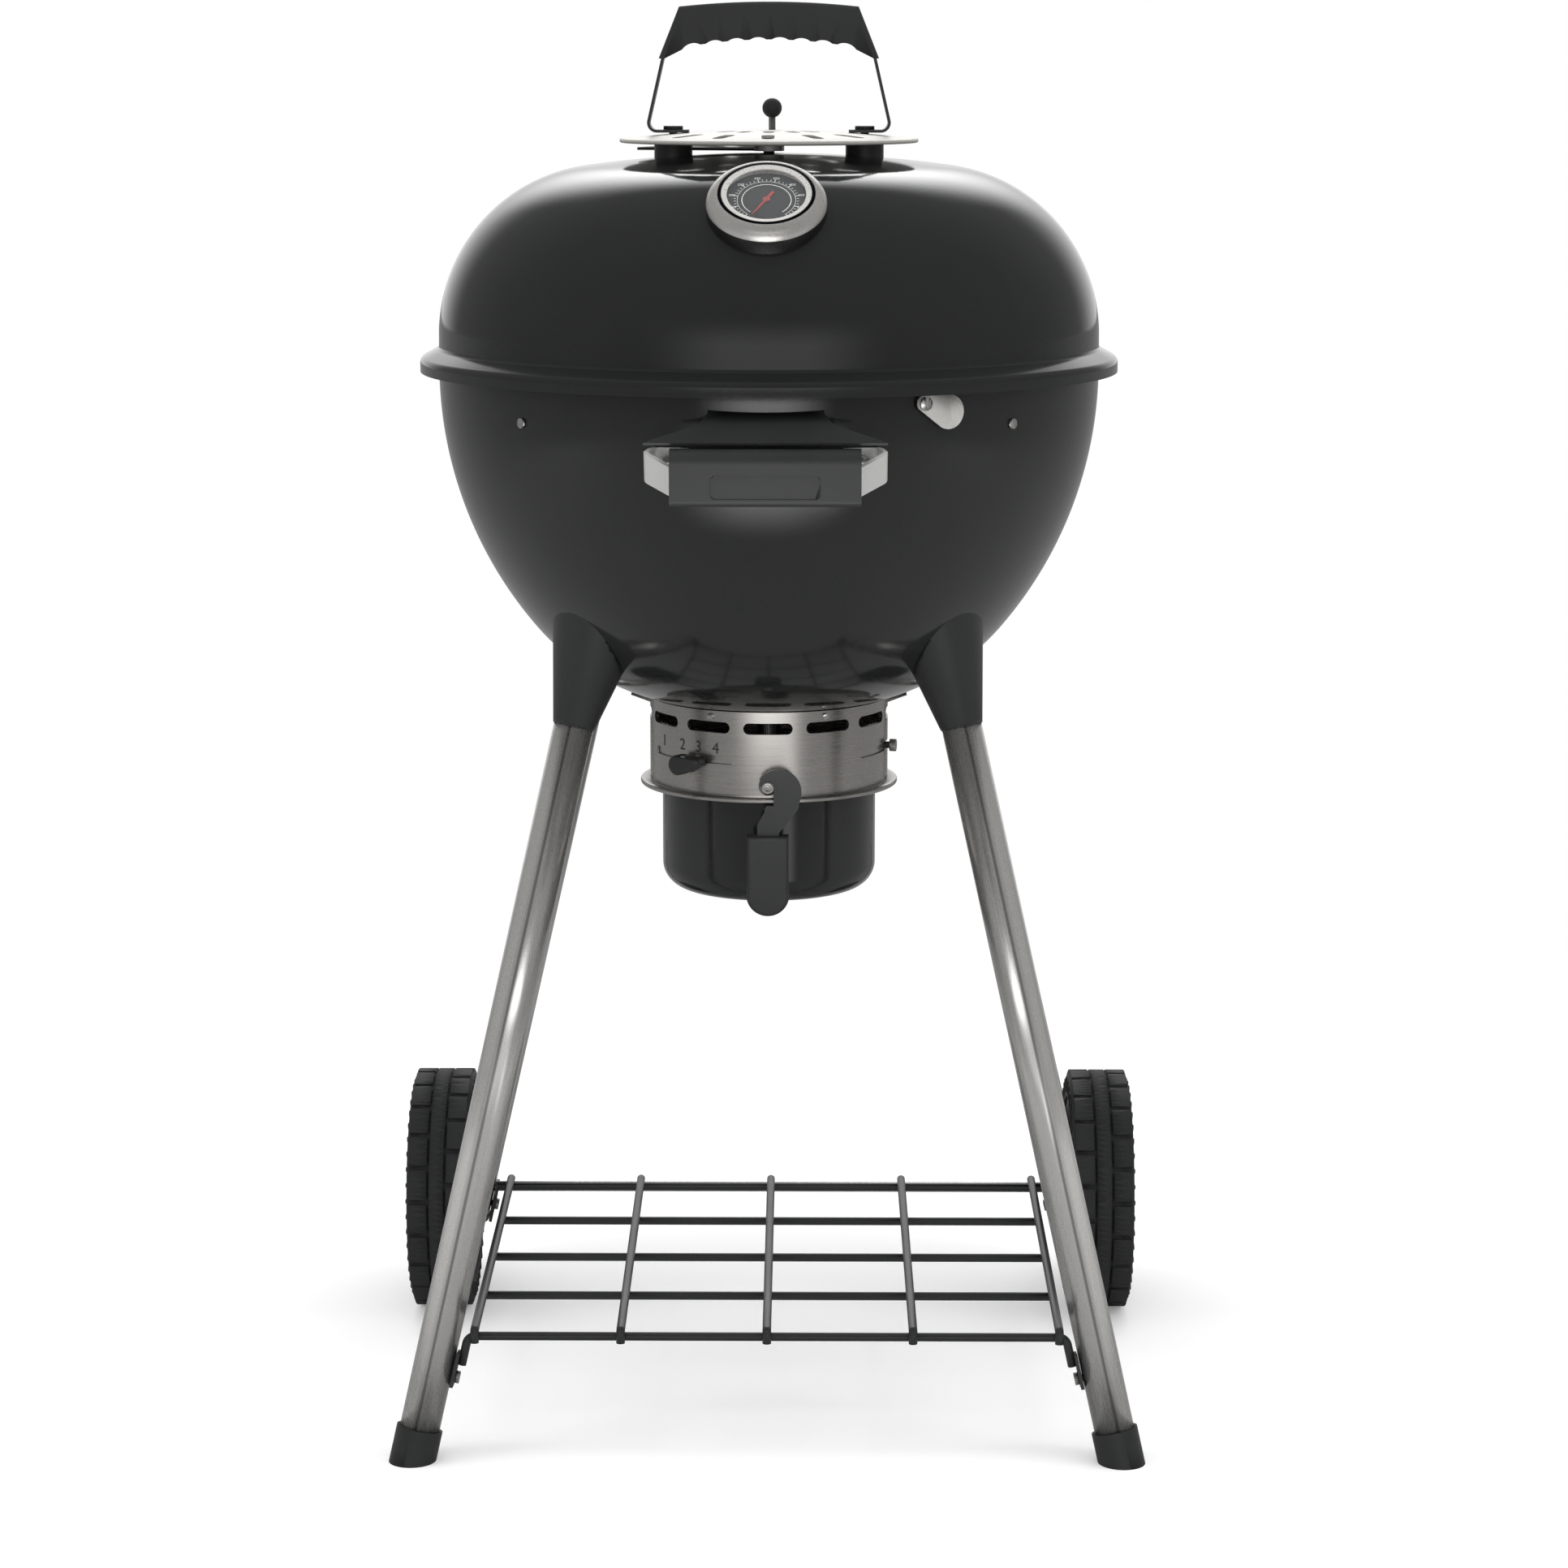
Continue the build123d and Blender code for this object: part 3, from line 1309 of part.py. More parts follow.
# Bottom rack seats on the legs' inner sides
rack_ys = [
    -rack_front_y + step * (rack_front_y + rack_rear_y) / (rack_bar_count - 1)
    for step in range(rack_bar_count)
]
rack_zs = [
    rack_front_z + step * (rack_rear_z - rack_front_z) / (rack_bar_count - 1)
    for step in range(rack_bar_count)
]
rack_seats = {}
for corner, (low, top) in leg_ends.items():
    along = (top - low).normalized()
    inner = Vector(-low.X, 0, 0).normalized()
    normal = (inner - along * inner.dot(along)).normalized()
    end = corner.split("_")[0]
    screw_z = {"front": rack_front_z, "rear": rack_rear_z}[end] - rack_tails[end]
    centre = low + along * ((screw_z - low.Z) / along.Z)
    rack_seats[corner] = Plane(
        centre + normal * (leg_d / 2 + rack_leg_gap), x_dir=along.cross(normal), z_dir=normal
    )

# Legs, with the sockets that join them to the bowl
for corner, (low, top) in leg_ends.items():
    along = (top - low).normalized()
    is_front = corner.startswith("front")
    start = low + along * (foot_lift / along.Z if is_front else -rear_leg_tail)
    seat = rack_seats[corner]
    with BuildPart() as leg:
        rod(start, top, leg_d)
        rod(start - along * leg_d, top + along * leg_d, leg_d - 2 * leg_wall, Mode.SUBTRACT)
        if not is_front:
            with Locations(Plane(low, z_dir=(1, 0, 0))):
                Cylinder(axle_d / 2 + bolt_gap, 2 * leg_d, mode=Mode.SUBTRACT)
        rod(
            seat.origin + seat.z_dir * leg_wall,
            seat.origin - seat.z_dir * rack_screw_depth,
            rack_screw_d + 2 * bolt_gap,
            Mode.SUBTRACT,
        )
    save(leg, f"leg_{corner}")

    screw_seat = socket_screw_seats[corner]
    with BuildPart() as leg_socket:
        mouth_x, mouth_y, mouth_z = socket_mouth_centre
        with BuildSketch(Plane(top, z_dir=along)):
            Circle(socket_d / 2)
        with BuildSketch(Plane((copysign(mouth_x, top.X), copysign(mouth_y, top.Y), mouth_z))):
            Ellipse(*socket_mouth)
        loft()
        add(bowl_form.part, mode=Mode.SUBTRACT)
        rod(top - along * spigot_length, top + along * leg_d / 2, leg_d - 2 * leg_wall - 2 * spigot_gap)
        with Locations(screw_seat):
            Cylinder(socket_screw_d / 2, 2 * socket_screw_depth, mode=Mode.SUBTRACT)
    save(leg_socket, f"leg_socket_{corner}")

with BuildPart() as socket_screws:
    head_low = bowl_wall + 2 * bolt_gap
    for seat in socket_screw_seats.values():
        for start, end, diameter in (
            (-socket_screw_depth + bolt_gap, head_low, socket_screw_d - 2 * bolt_gap),
            (head_low, head_low + socket_screw_head_h, socket_screw_head_d),
        ):
            rod(
                seat.from_local_coords(Vector(0, 0, start)),
                seat.from_local_coords(Vector(0, 0, end)),
                diameter,
            )
save(socket_screws, "socket_screws")

# Feet on the front legs and plugs in the rear ones
for side in SIDES:
    low, top = leg_ends[f"front_{side}"]
    along = (top - low).normalized()
    with BuildPart() as foot_cap:
        rod(low - along * foot_cap_d, low + along * foot_cap_h, foot_cap_d)
        rod(low + along * (foot_lift / along.Z), top, leg_d + 2 * spigot_gap, Mode.SUBTRACT)
        split(bisect_by=Plane.XY, keep=Keep.TOP)
    save(foot_cap, f"foot_cap_{side}")

with BuildPart() as rear_leg_plugs:
    for side in SIDES:
        low, top = leg_ends[f"rear_{side}"]
        along = (top - low).normalized()
        tail = low - along * rear_leg_tail
        rod(tail - along * plug_h, tail, plug_d)
        rod(tail, tail + along * plug_h, leg_d - 2 * (leg_wall + spigot_gap))
save(rear_leg_plugs, "rear_leg_plugs")

# Wheels on a fixed axle through the rear legs
wheel_r = wheel_d / 2
with BuildPart() as wheel_axle:
    reach = (boss_out + hub_cap_out) / 2
    rod((-reach, axle_y, wheel_r), (reach, axle_y, wheel_r), axle_d - 2 * running_gap)
save(wheel_axle, "wheel_axle")

with BuildPart() as hub_caps:
    for sign in SIDES.values():
        with BuildSketch(section_plane((0, axle_y, wheel_r), (sign, 0, 0))):
            with BuildLine():
                FilletPolyline(
                    (0, boss_out + hub_cap_gap),
                    (hub_cap_d / 2, boss_out + hub_cap_gap),
                    (hub_cap_d / 2, hub_cap_out),
                    (0, hub_cap_out),
                    radius=(hub_cap_out - boss_out) / 4,
                )
                Line((0, hub_cap_out), (0, boss_out + hub_cap_gap))
            make_face()
        revolve(axis=Axis((0, axle_y, wheel_r), (sign, 0, 0)))
    add(wheel_axle.part, mode=Mode.SUBTRACT)
save(hub_caps, "hub_caps")

for side, sign in SIDES.items():
    wheel_centre = (0, axle_y, wheel_r)
    wheel_section = section_plane(wheel_centre, (sign, 0, 0))
    wheel_axis = Axis(wheel_centre, (sign, 0, 0))
    wheel_out = wheel_in + wheel_width
    wheel_mid = (wheel_in + wheel_out) / 2
    base_r = wheel_r - tread_h
    row_width = (wheel_width - rib_width) / 2 - lug_groove / 2 - tyre_round / 2
    row_starts = (wheel_in + tyre_round / 2, wheel_out - tyre_round / 2 - row_width)
    with BuildPart() as tyre:
        with BuildSketch(wheel_section):
            with BuildLine():
                FilletPolyline(
                    (tyre_in_d / 2, wheel_in),
                    (base_r, wheel_in),
                    (base_r, wheel_out),
                    (tyre_in_d / 2, wheel_out),
                    radius=tyre_round,
                )
                Line((tyre_in_d / 2, wheel_out), (tyre_in_d / 2, wheel_in))
            make_face()
            with Locations((wheel_r - tread_h, wheel_mid)):
                Rectangle(2 * tread_h, rib_width)
            for row_start in row_starts:
                with Locations((wheel_r - tread_h, row_start + row_width / 2)):
                    Rectangle(2 * tread_h, row_width)
        revolve(axis=wheel_axis)
        for row, row_start in enumerate(row_starts):
            with BuildSketch(Plane((sign * row_start, axle_y, wheel_r), x_dir=(0, 1, 0), z_dir=(sign, 0, 0))):
                with PolarLocations(wheel_r - tread_h / 2, lug_count, start_angle=row * 180 / lug_count):
                    Rectangle(tread_h, lug_groove)
                    with Locations((tread_h, 0)):
                        Rectangle(2 * tread_h, lug_groove)
            extrude(amount=row_width, mode=Mode.SUBTRACT)
    save(tyre, f"tyre_{side}")

    with BuildPart() as wheel_hub:
        with BuildSketch(wheel_section):
            with Locations(((tyre_in_d + rim_in_d) / 4, wheel_mid)):
                Rectangle((tyre_in_d - rim_in_d) / 2, wheel_width - tyre_round)
            with Locations((rim_in_d / 4, web_in + web_t / 2)):
                Rectangle(rim_in_d / 2, web_t)
            with Locations((boss_d / 4, (boss_in + boss_out) / 2)):
                Rectangle(boss_d / 2, boss_out - boss_in)
        revolve(axis=wheel_axis)
        with BuildSketch(Plane((sign * web_in, axle_y, wheel_r), x_dir=(0, 1, 0), z_dir=(sign, 0, 0))):
            with PolarLocations(0, spoke_count):
                Rectangle((tyre_in_d + rim_in_d) / 4, spoke_rib, align=(Align.MIN, Align.CENTER))
        extrude(amount=web_t + spoke_rib_h)
        with Locations(Plane(wheel_centre, z_dir=(sign, 0, 0))):
            Cylinder(axle_d / 2, 2 * hub_cap_out, mode=Mode.SUBTRACT)
    save(wheel_hub, f"wheel_hub_{side}")

# Bottom rack
with BuildPart() as bottom_rack:
    front, rear = rack_seats["front_right"], rack_seats["rear_right"]
    slopes = {
        end: (low.X - top.X) / (top.Z - low.Z)
        for end, (low, top) in (("front", leg_ends["front_right"]), ("rear", leg_ends["rear_right"]))
    }
    tail_z = front.origin.Z + rack_tail_lift
    tail_x = front.origin.X - slopes["front"] * rack_tail_lift - rack_eye_t - rack_wire / 2
    bend_x = tail_x - slopes["front"] * (rack_front_z - tail_z)
    bent_wire(
        Plane((0, rack_ys[0], 0), x_dir=(1, 0, 0), z_dir=(0, -1, 0)),
        ((-tail_x, tail_z), (-bend_x, rack_front_z), (bend_x, rack_front_z), (tail_x, tail_z)),
        rack_bend,
        rack_wire,
    )
    rear_reach = rear.origin.X - slopes["rear"] * rack_tails["rear"] - rack_eye_t
    cross_reach = rack_cross_x[-1] + rack_wire / 2
    for step in range(1, rack_bar_count):
        reach = rear_reach if step == rack_bar_count - 1 else cross_reach
        rod((-reach, rack_ys[step], rack_zs[step]), (reach, rack_ys[step], rack_zs[step]), rack_wire)
    lift = rack_wire - rack_weld
    front_bend = rack_ys[0] - lift
    for x in rack_cross_x:
        bent_wire(
            Plane((x, 0, 0), x_dir=(0, 1, 0), z_dir=(1, 0, 0)),
            (
                (rack_ys[-1] + rack_cross_over, rack_zs[-1] + lift),
                (front_bend, rack_zs[0] + lift),
                (front_bend, rack_zs[0] - rack_cross_over),
            ),
            rack_wire / 2 + rack_weld,
            rack_wire,
        )
    for corner, seat in rack_seats.items():
        bar_y = rack_ys[0] if corner.startswith("front") else rack_ys[-1]
        bar_side = seat.to_local_coords(Vector(seat.origin.X, bar_y, seat.origin.Z)).X
        with BuildSketch(seat):
            with Locations((bar_side / 2, (rack_eye_up - rack_eye[1] / 2) / 2)):
                Rectangle(abs(bar_side) + rack_eye[0], rack_eye_up + rack_eye[1] / 2)
        extrude(amount=rack_eye_t + rack_weld)
        with Locations(seat):
            Cylinder(rack_screw_d / 2 + bolt_gap, 4 * rack_eye_t, mode=Mode.SUBTRACT)
    with Locations(Plane((0, axle_y, wheel_r), z_dir=(1, 0, 0))):
        Cylinder(axle_d / 2 + rack_leg_gap, 2 * axle_leg_x, mode=Mode.SUBTRACT)
save(bottom_rack, "bottom_rack")

with BuildPart() as rack_screws:
    head_low = rack_eye_t + rack_weld + bolt_gap
    for seat in rack_seats.values():
        for start, end, diameter in (
            (-rack_screw_depth + bolt_gap, head_low, rack_screw_d),
            (head_low, head_low + rack_screw_head_h, rack_screw_head_d),
        ):
            rod(
                seat.from_local_coords(Vector(0, 0, start)),
                seat.from_local_coords(Vector(0, 0, end)),
                diameter,
            )
save(rack_screws, "rack_screws")
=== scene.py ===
"""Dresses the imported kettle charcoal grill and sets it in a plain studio.

Metres, +Z up, front at -Y, in the same frame as the solids. The enamel forms are lathed again as smooth
skins, every other solid gets a smooth-shaded copy with its own finish, and the small repeated details come
from Geometry Nodes.
"""

import json
import logging
import math
from dataclasses import dataclass
from enum import Enum
from typing import Any, Dict, List, Optional, Sequence, Tuple, Union

import bmesh
import bpy
from mathutils import Euler, Matrix, Vector


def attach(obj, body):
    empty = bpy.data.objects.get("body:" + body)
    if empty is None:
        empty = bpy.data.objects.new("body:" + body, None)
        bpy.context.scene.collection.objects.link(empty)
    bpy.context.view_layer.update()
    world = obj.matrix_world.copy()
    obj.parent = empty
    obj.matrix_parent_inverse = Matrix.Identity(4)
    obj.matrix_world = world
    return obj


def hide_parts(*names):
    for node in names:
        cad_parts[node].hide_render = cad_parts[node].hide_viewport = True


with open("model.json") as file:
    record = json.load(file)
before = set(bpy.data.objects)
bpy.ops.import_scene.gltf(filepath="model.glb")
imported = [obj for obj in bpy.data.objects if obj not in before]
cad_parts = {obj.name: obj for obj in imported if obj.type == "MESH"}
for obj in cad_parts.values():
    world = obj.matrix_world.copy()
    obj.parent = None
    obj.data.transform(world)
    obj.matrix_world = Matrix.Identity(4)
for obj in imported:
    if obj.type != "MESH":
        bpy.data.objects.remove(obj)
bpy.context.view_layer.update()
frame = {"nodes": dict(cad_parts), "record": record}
LOG = logging.getLogger("kettle_grill")

Colour = Tuple[float, float, float]
Point2 = Tuple[float, float]
Point3 = Tuple[float, float, float]
Value = Union["Signal", float]


class Body(Enum):
    """Moving bodies of the grill that dressed pieces ride on."""

    KETTLE = "kettle"
    LID = "lid"
    DAMPER = "damper"
    NEEDLE = "needle"
    COOKING_GRATE = "cooking_grate"
    CHARCOAL_GRATE = "charcoal_grate"
    SWEEPER = "sweeper"
    ASH_POT = "ash_pot"
    LATCH = "latch"
    PROBE_COVER = "probe_cover"
    WHEEL_LEFT = "wheel_left"
    WHEEL_RIGHT = "wheel_right"


class Brush(Enum):
    """Way the brushing lines of a metal run, as the scale of their noise along each axis."""

    ROUND = (0.012, 0.012, 1.0)
    ALONG = (1.0, 1.0, 0.006)
    SATIN = (0.5, 0.5, 0.5)


class Signal:
    """A node's output socket, so that shader maths reads as Python."""

    def __init__(self, graph: "Graph", socket: Optional[bpy.types.NodeSocket]) -> None:
        """Wrap a socket of a graph."""
        self.graph = graph
        self.socket = socket

    def _math(self, operation: str, other: Value, swap: bool = False) -> "Signal":
        """Add one Math node.

        Args:
            operation: The Math node's operation.
            other: The second value.
            swap: Whether this signal is the second value instead.

        Returns:
            The result as a signal.
        """
        first, second = (other, self) if swap else (self, other)
        return self.graph.node("ShaderNodeMath", {"operation": operation}, {0: first, 1: second})

    def __add__(self, other: Value) -> "Signal":
        """Sum."""
        return self._math("ADD", other)

    def __radd__(self, other: float) -> "Signal":
        """Sum from the right."""
        return self._math("ADD", other, True)

    def __sub__(self, other: Value) -> "Signal":
        """Difference."""
        return self._math("SUBTRACT", other)

    def __rsub__(self, other: float) -> "Signal":
        """Difference from the right."""
        return self._math("SUBTRACT", other, True)

    def __mul__(self, other: Value) -> "Signal":
        """Product."""
        return self._math("MULTIPLY", other)

    def __rmul__(self, other: float) -> "Signal":
        """Product from the right."""
        return self._math("MULTIPLY", other, True)

    def size(self) -> "Signal":
        """Absolute value."""
        return self._math("ABSOLUTE", 0.0)

    def above(self, low: float, high: float) -> "Signal":
        """Smooth ramp from 0 at low to 1 at high."""
        settings = {"interpolation_type": "SMOOTHSTEP"}
        return self.graph.node("ShaderNodeMapRange", settings, {0: self, 1: low, 2: high, 3: 0.0, 4: 1.0})

    def below(self, low: float, high: float) -> "Signal":
        """Smooth ramp from 1 at low to 0 at high."""
        return 1.0 - self.above(low, high)

    def past(self, limit: float, edge: float) -> "Signal":
        """Step from 0 to 1 at a limit, with a soft edge to each side."""
        return self.above(limit - edge, limit + edge)

    def outputs(self, *names: str) -> List["Signal"]:
        """Outputs of the same node, by name."""
        return [Signal(self.graph, self.socket.node.outputs[name]) for name in names]


class Graph:
    """Any node tree, built up from signals."""

    def __init__(self, tree: bpy.types.NodeTree) -> None:
        """Work on a tree."""
        self.tree = tree

    @classmethod
    def blank(cls, owner: Union[bpy.types.Material, bpy.types.World]) -> "Graph":
        """Start on the emptied tree of a material or a world.

        Args:
            owner: The material or world.

        Returns:
            The graph of its tree.
        """
        owner.use_nodes = True
        owner.node_tree.nodes.clear()
        return cls(owner.node_tree)

    def node(
        self,
        kind: str,
        settings: Optional[Dict[str, Any]] = None,
        inputs: Optional[Dict[Any, Any]] = None,
        output: Union[int, str] = 0,
    ) -> Signal:
        """Add any node.

        Args:
            kind: The node's type.
            settings: Attributes of the node; "stops" are a ramp's positions and colours.
            inputs: Values or signals by socket name or number.
            output: Name or number of the socket that is returned.

        Returns:
            The chosen output as a signal, which is empty for a node without outputs.
        """
        made = self.tree.nodes.new(kind)
        for key, value in (settings or {}).items():
            if key == "stops":
                elements = made.color_ramp.elements
                while len(elements) < len(value):
                    elements.new(1.0)
                for element, (place, colour) in zip(elements, value):
                    element.position = place
                    element.color = (*colour, 1.0)
            else:
                setattr(made, key, value)
        for key, value in (inputs or {}).items():
            if isinstance(value, Signal):
                self.tree.links.new(value.socket, made.inputs[key])
            else:
                made.inputs[key].default_value = value
        return Signal(self, made.outputs[output] if made.outputs else None)

    def mix(self, share: Signal, low: Signal, high: Signal) -> Signal:
        """Mix two shaders, the first at 0 and the second at 1."""
        return self.node("ShaderNodeMixShader", inputs={0: share, 1: low, 2: high})

    def glow(self, strength: float) -> Signal:
        """White emission."""
        return self.node("ShaderNodeEmission", inputs={"Strength": strength})


class FinishGraph(Graph):
    """Material with one Principled shader, built up from signals."""

    def __init__(self, name: str) -> None:
        """Start a material.

        Args:
            name: The material's name.
        """
        self.material = bpy.data.materials.new(name)
        self.material.use_nodes = True
        super().__init__(self.material.node_tree)
        self.shader = self.tree.nodes["Principled BSDF"]

    def place(self, turn: Optional[Euler] = None, scale: Sequence[float] = (1, 1, 1)) -> Signal:
        """Object coordinates, turned and then scaled.

        Args:
            turn: Rotation that brings the grain's direction to +Z.
            scale: Scale along each turned axis.

        Returns:
            The coordinates.
        """
        spot = self.node("ShaderNodeTexCoord", output="Object")
        if turn is not None:
            values = {"Vector": spot, "Rotation": tuple(turn)}
            spot = self.node("ShaderNodeVectorRotate", {"rotation_type": "EULER_XYZ"}, values)
        return self.node("ShaderNodeMapping", inputs={"Vector": spot, "Scale": tuple(scale)})

    def blend(self, share: Signal, low: Colour, high: Colour) -> Signal:
        """Mix two plain colours, the first at 0 and the second at 1."""
        return self.node("ShaderNodeValToRGB", {"stops": ((0.0, low), (1.0, high))}, {0: share})

    def swap(self, share: Signal, low: Colour, high: Signal) -> Signal:
        """Mix a plain colour, at 0, with a colour signal, at 1."""
        return self.node("ShaderNodeMix", {"data_type": "RGBA"}, {0: share, 6: (*low, 1.0), 7: high}, 2)

    def vector(
        self, operation: str, first: Signal, second: Sequence[float] = (0, 0, 0), output: str = "Vector"
    ) -> Signal:
        """Add one Vector Math node.

        Args:
            operation: The node's operation.
            first: The first vector.
            second: The second vector.
            output: Name of the socket that is returned.

        Returns:
            The chosen output as a signal.
        """
        return self.node("ShaderNodeVectorMath", {"operation": operation}, {0: first, 1: tuple(second)}, output)

    def bump(self, height: Signal, depth: float, strength: float) -> None:
        """Feed a bump into the shader's normal.

        Args:
            height: Height from 0 to 1.
            depth: Depth of the relief in metres.
            strength: Share of the full effect.
        """
        values = {"Strength": strength, "Distance": depth, "Height": height}
        self.feed("Normal", self.node("ShaderNodeBump", inputs=values))

    def feed(self, socket: str, signal: Signal) -> None:
        """Link a signal to the shader."""
        self.tree.links.new(signal.socket, self.shader.inputs[socket])

    def fix(self, **values: Any) -> None:
        """Set constant values on the shader's sockets, with _ for spaces."""
        for key, value in values.items():
            self.shader.inputs[key.replace("_", " ")].default_value = value


@dataclass(frozen=True)
class Noise:
    """A noise: its cells to the metre, its octaves and the share of the finer ones."""

    scale: float
    detail: float = 3.0
    rough: float = 0.5

    def over(self, graph: FinishGraph, spot: Signal) -> Signal:
        """Noise value at coordinates, about 0.5 on average."""
        values = {"Vector": spot, "Scale": self.scale, "Detail": self.detail, "Roughness": self.rough}
        return graph.node("ShaderNodeTexNoise", inputs=values)


@dataclass(frozen=True)
class Wear:
    """How a coarse and a fine noise vary a finish.

    The tone gives their shares in the colour, the shade its factors where they are lowest and highest, and
    rough their weights in the roughness, which starts below its nominal value by ease.
    """

    tone: Point2
    shade: Point2
    rough: Point2
    ease: float

    def tint(self, graph: FinishGraph, coarse: Signal, fine: Signal, colour: Colour) -> Signal:
        """Varied colour."""
        low, high = (tuple(factor * part for part in colour) for factor in self.shade)
        return graph.blend(coarse * self.tone[0] + fine * self.tone[1], low, high)

    def dull(self, coarse: Signal, fine: Signal, rough: float) -> Signal:
        """Varied roughness."""
        return coarse * self.rough[0] + fine * self.rough[1] + (rough - self.ease)


@dataclass(frozen=True)
class Enamel:
    """Gloss black vitreous enamel with a faint orange peel."""

    name: str
    colour: Colour = (0.0108, 0.0116, 0.0111)
    gloss: float = 0.10
    level: float = 0.42
    cloud: Noise = Noise(14.0, 4.0)
    speck: Noise = Noise(900.0, 1.0)
    speck_ramp: Point2 = (0.70, 0.80)
    wear: Wear = Wear(tone=(0.6, 0.4), shade=(1.0, 1.5), rough=(0.06, 0.03), ease=0.03)
    peel: Noise = Noise(260.0, 2.0)
    depth: float = 0.00006
    strength: float = 0.35

    def make(self) -> bpy.types.Material:
        """Build the material."""
        graph = FinishGraph(self.name)
        spot = graph.place()
        cloud = self.cloud.over(graph, spot)
        speck = self.speck.over(graph, spot).above(*self.speck_ramp)
        graph.feed("Base Color", self.wear.tint(graph, cloud, speck, self.colour))
        graph.feed("Roughness", self.wear.dull(cloud, speck, self.gloss))
        graph.bump(self.peel.over(graph, spot), self.depth, self.strength)
        graph.fix(Specular_IOR_Level=self.level)
        return graph.material


@dataclass(frozen=True)
class GaugeBand:
    """Painted shade on the gauge: a ring keeps its colour, and what is lower, nearer or further out is painted
    black as shade, in the groove round the dial and on the bezel's lower flank.
    """

    low: float = -1.0
    inner: float = -1.0
    outer: float = 1.0
    seat: Point3 = (0.0, -0.187, 0.883567)
    out: Point3 = (0.0, -0.590164, 0.807288)
    edge: float = 0.0002

    def share(self, graph: FinishGraph) -> Signal:
        """Find the part that is not painted shade.

        Args:
            graph: The finish that it is for.

        Returns:
            1 where the colour is kept and 0 where shade is painted.
        """
        spot = graph.vector("SUBTRACT", graph.place(), self.seat)
        height = graph.vector("DOT_PRODUCT", spot, self.out, "Value")
        reach = graph.vector("LENGTH", graph.vector("CROSS_PRODUCT", spot, self.out), output="Value")
        # Painted shade: the groove round the dial lies inside the inner radius and outside the outer one, and
        # the bezel's lower flank lies below the low height.
        ring = reach.past(self.inner, self.edge) * (1.0 - reach.past(self.outer, self.edge))
        return height.past(self.low, self.edge) * ring


@dataclass(frozen=True)
class TubeLines:
    """Painted light along a drawn tube: a dark painted reflection, a painted highlight on the outer flank and
    painted shade on the inner one.

    Each line rises and falls over shares of the tube's radius, outwards from its middle.
    """

    start: Point3
    outward: Point3
    radius: float = 0.01425
    seam_rise: Point2 = (0.06, 0.14)
    seam_fall: Point2 = (0.20, 0.28)
    paler_rise: Point2 = (0.28, 0.50)
    paler_fall: Point2 = (0.72, 0.95)
    duller_fall: Point2 = (-0.85, -0.45)
    plain: float = 0.80
    paler_gain: float = 0.22
    seam_loss: float = 0.44
    duller_loss: float = 0.20

    def share(self, graph: FinishGraph) -> Signal:
        """Find the painted light across the tube.

        Args:
            graph: The finish that it is for.

        Returns:
            About 1 on the painted highlight, less where shade and the dark reflection are painted.
        """
        spot = graph.vector("SUBTRACT", graph.place(), self.start)
        across = graph.vector("DOT_PRODUCT", spot, self.outward, "Value") * (1.0 / self.radius)
        # Painted dark reflection, painted highlight and painted shade, each a band across the tube.
        dark_reflection = across.above(*self.seam_rise) * across.below(*self.seam_fall)
        painted_highlight = across.above(*self.paler_rise) * across.below(*self.paler_fall)
        painted_shade = across.below(*self.duller_fall)
        return painted_highlight * self.paler_gain - dark_reflection * self.seam_loss - painted_shade * self.duller_loss + self.plain


@dataclass(frozen=True)
class BrushedMetal:
    """Bare metal with fine brushing lines, and with painted shade, painted highlights and painted reflections
    where it is given them.
    """

    name: str
    colour: Colour
    brush: Brush
    rough: float = 0.3
    direction: Point3 = (0.0, 0.0, 1.0)
    lines: float = 1100.0
    depth: float = 0.00003
    strength: float = 0.5
    metal: float = 1.0
    # Painted light mixed into the colour: shade on the gauge, or highlight, shade and a dark reflection along a
    # tube.
    tone: Optional[Union[GaugeBand, TubeLines]] = None
    # Colour of the painted shade and of the dark painted reflection.
    black: Colour = (0.006, 0.006, 0.006)
    cloud: Noise = Noise(18.0)
    wear: Wear = Wear(tone=(0.25, 0.75), shade=(0.80, 1.0), rough=(0.08, 0.16), ease=0.12)

    def make(self) -> bpy.types.Material:
        """Build the material."""
        graph = FinishGraph(self.name)
        axis = Vector(self.direction).normalized()
        turn = axis.rotation_difference(Vector((0, 0, 1))).to_euler()
        lines = Noise(self.lines, detail=2.0, rough=0.6).over(graph, graph.place(turn, self.brush.value))
        cloud = self.cloud.over(graph, graph.place(turn))
        bare = self.wear.tint(graph, cloud, lines, self.colour)
        graph.fix(Metallic=self.metal)
        # Painted light: the colour goes towards black where shade or a dark reflection is painted, and keeps its
        # full value on the painted highlight.
        if self.tone is not None:
            unshaded = self.tone.share(graph)
            bare = graph.swap(unshaded, self.black, bare)
            if isinstance(self.tone, GaugeBand):
                graph.feed("Metallic", unshaded * self.metal)
        graph.feed("Base Color", bare)
        graph.feed("Roughness", self.wear.dull(cloud, lines, self.rough))
        graph.bump(lines, self.depth, self.strength)
        return graph.material


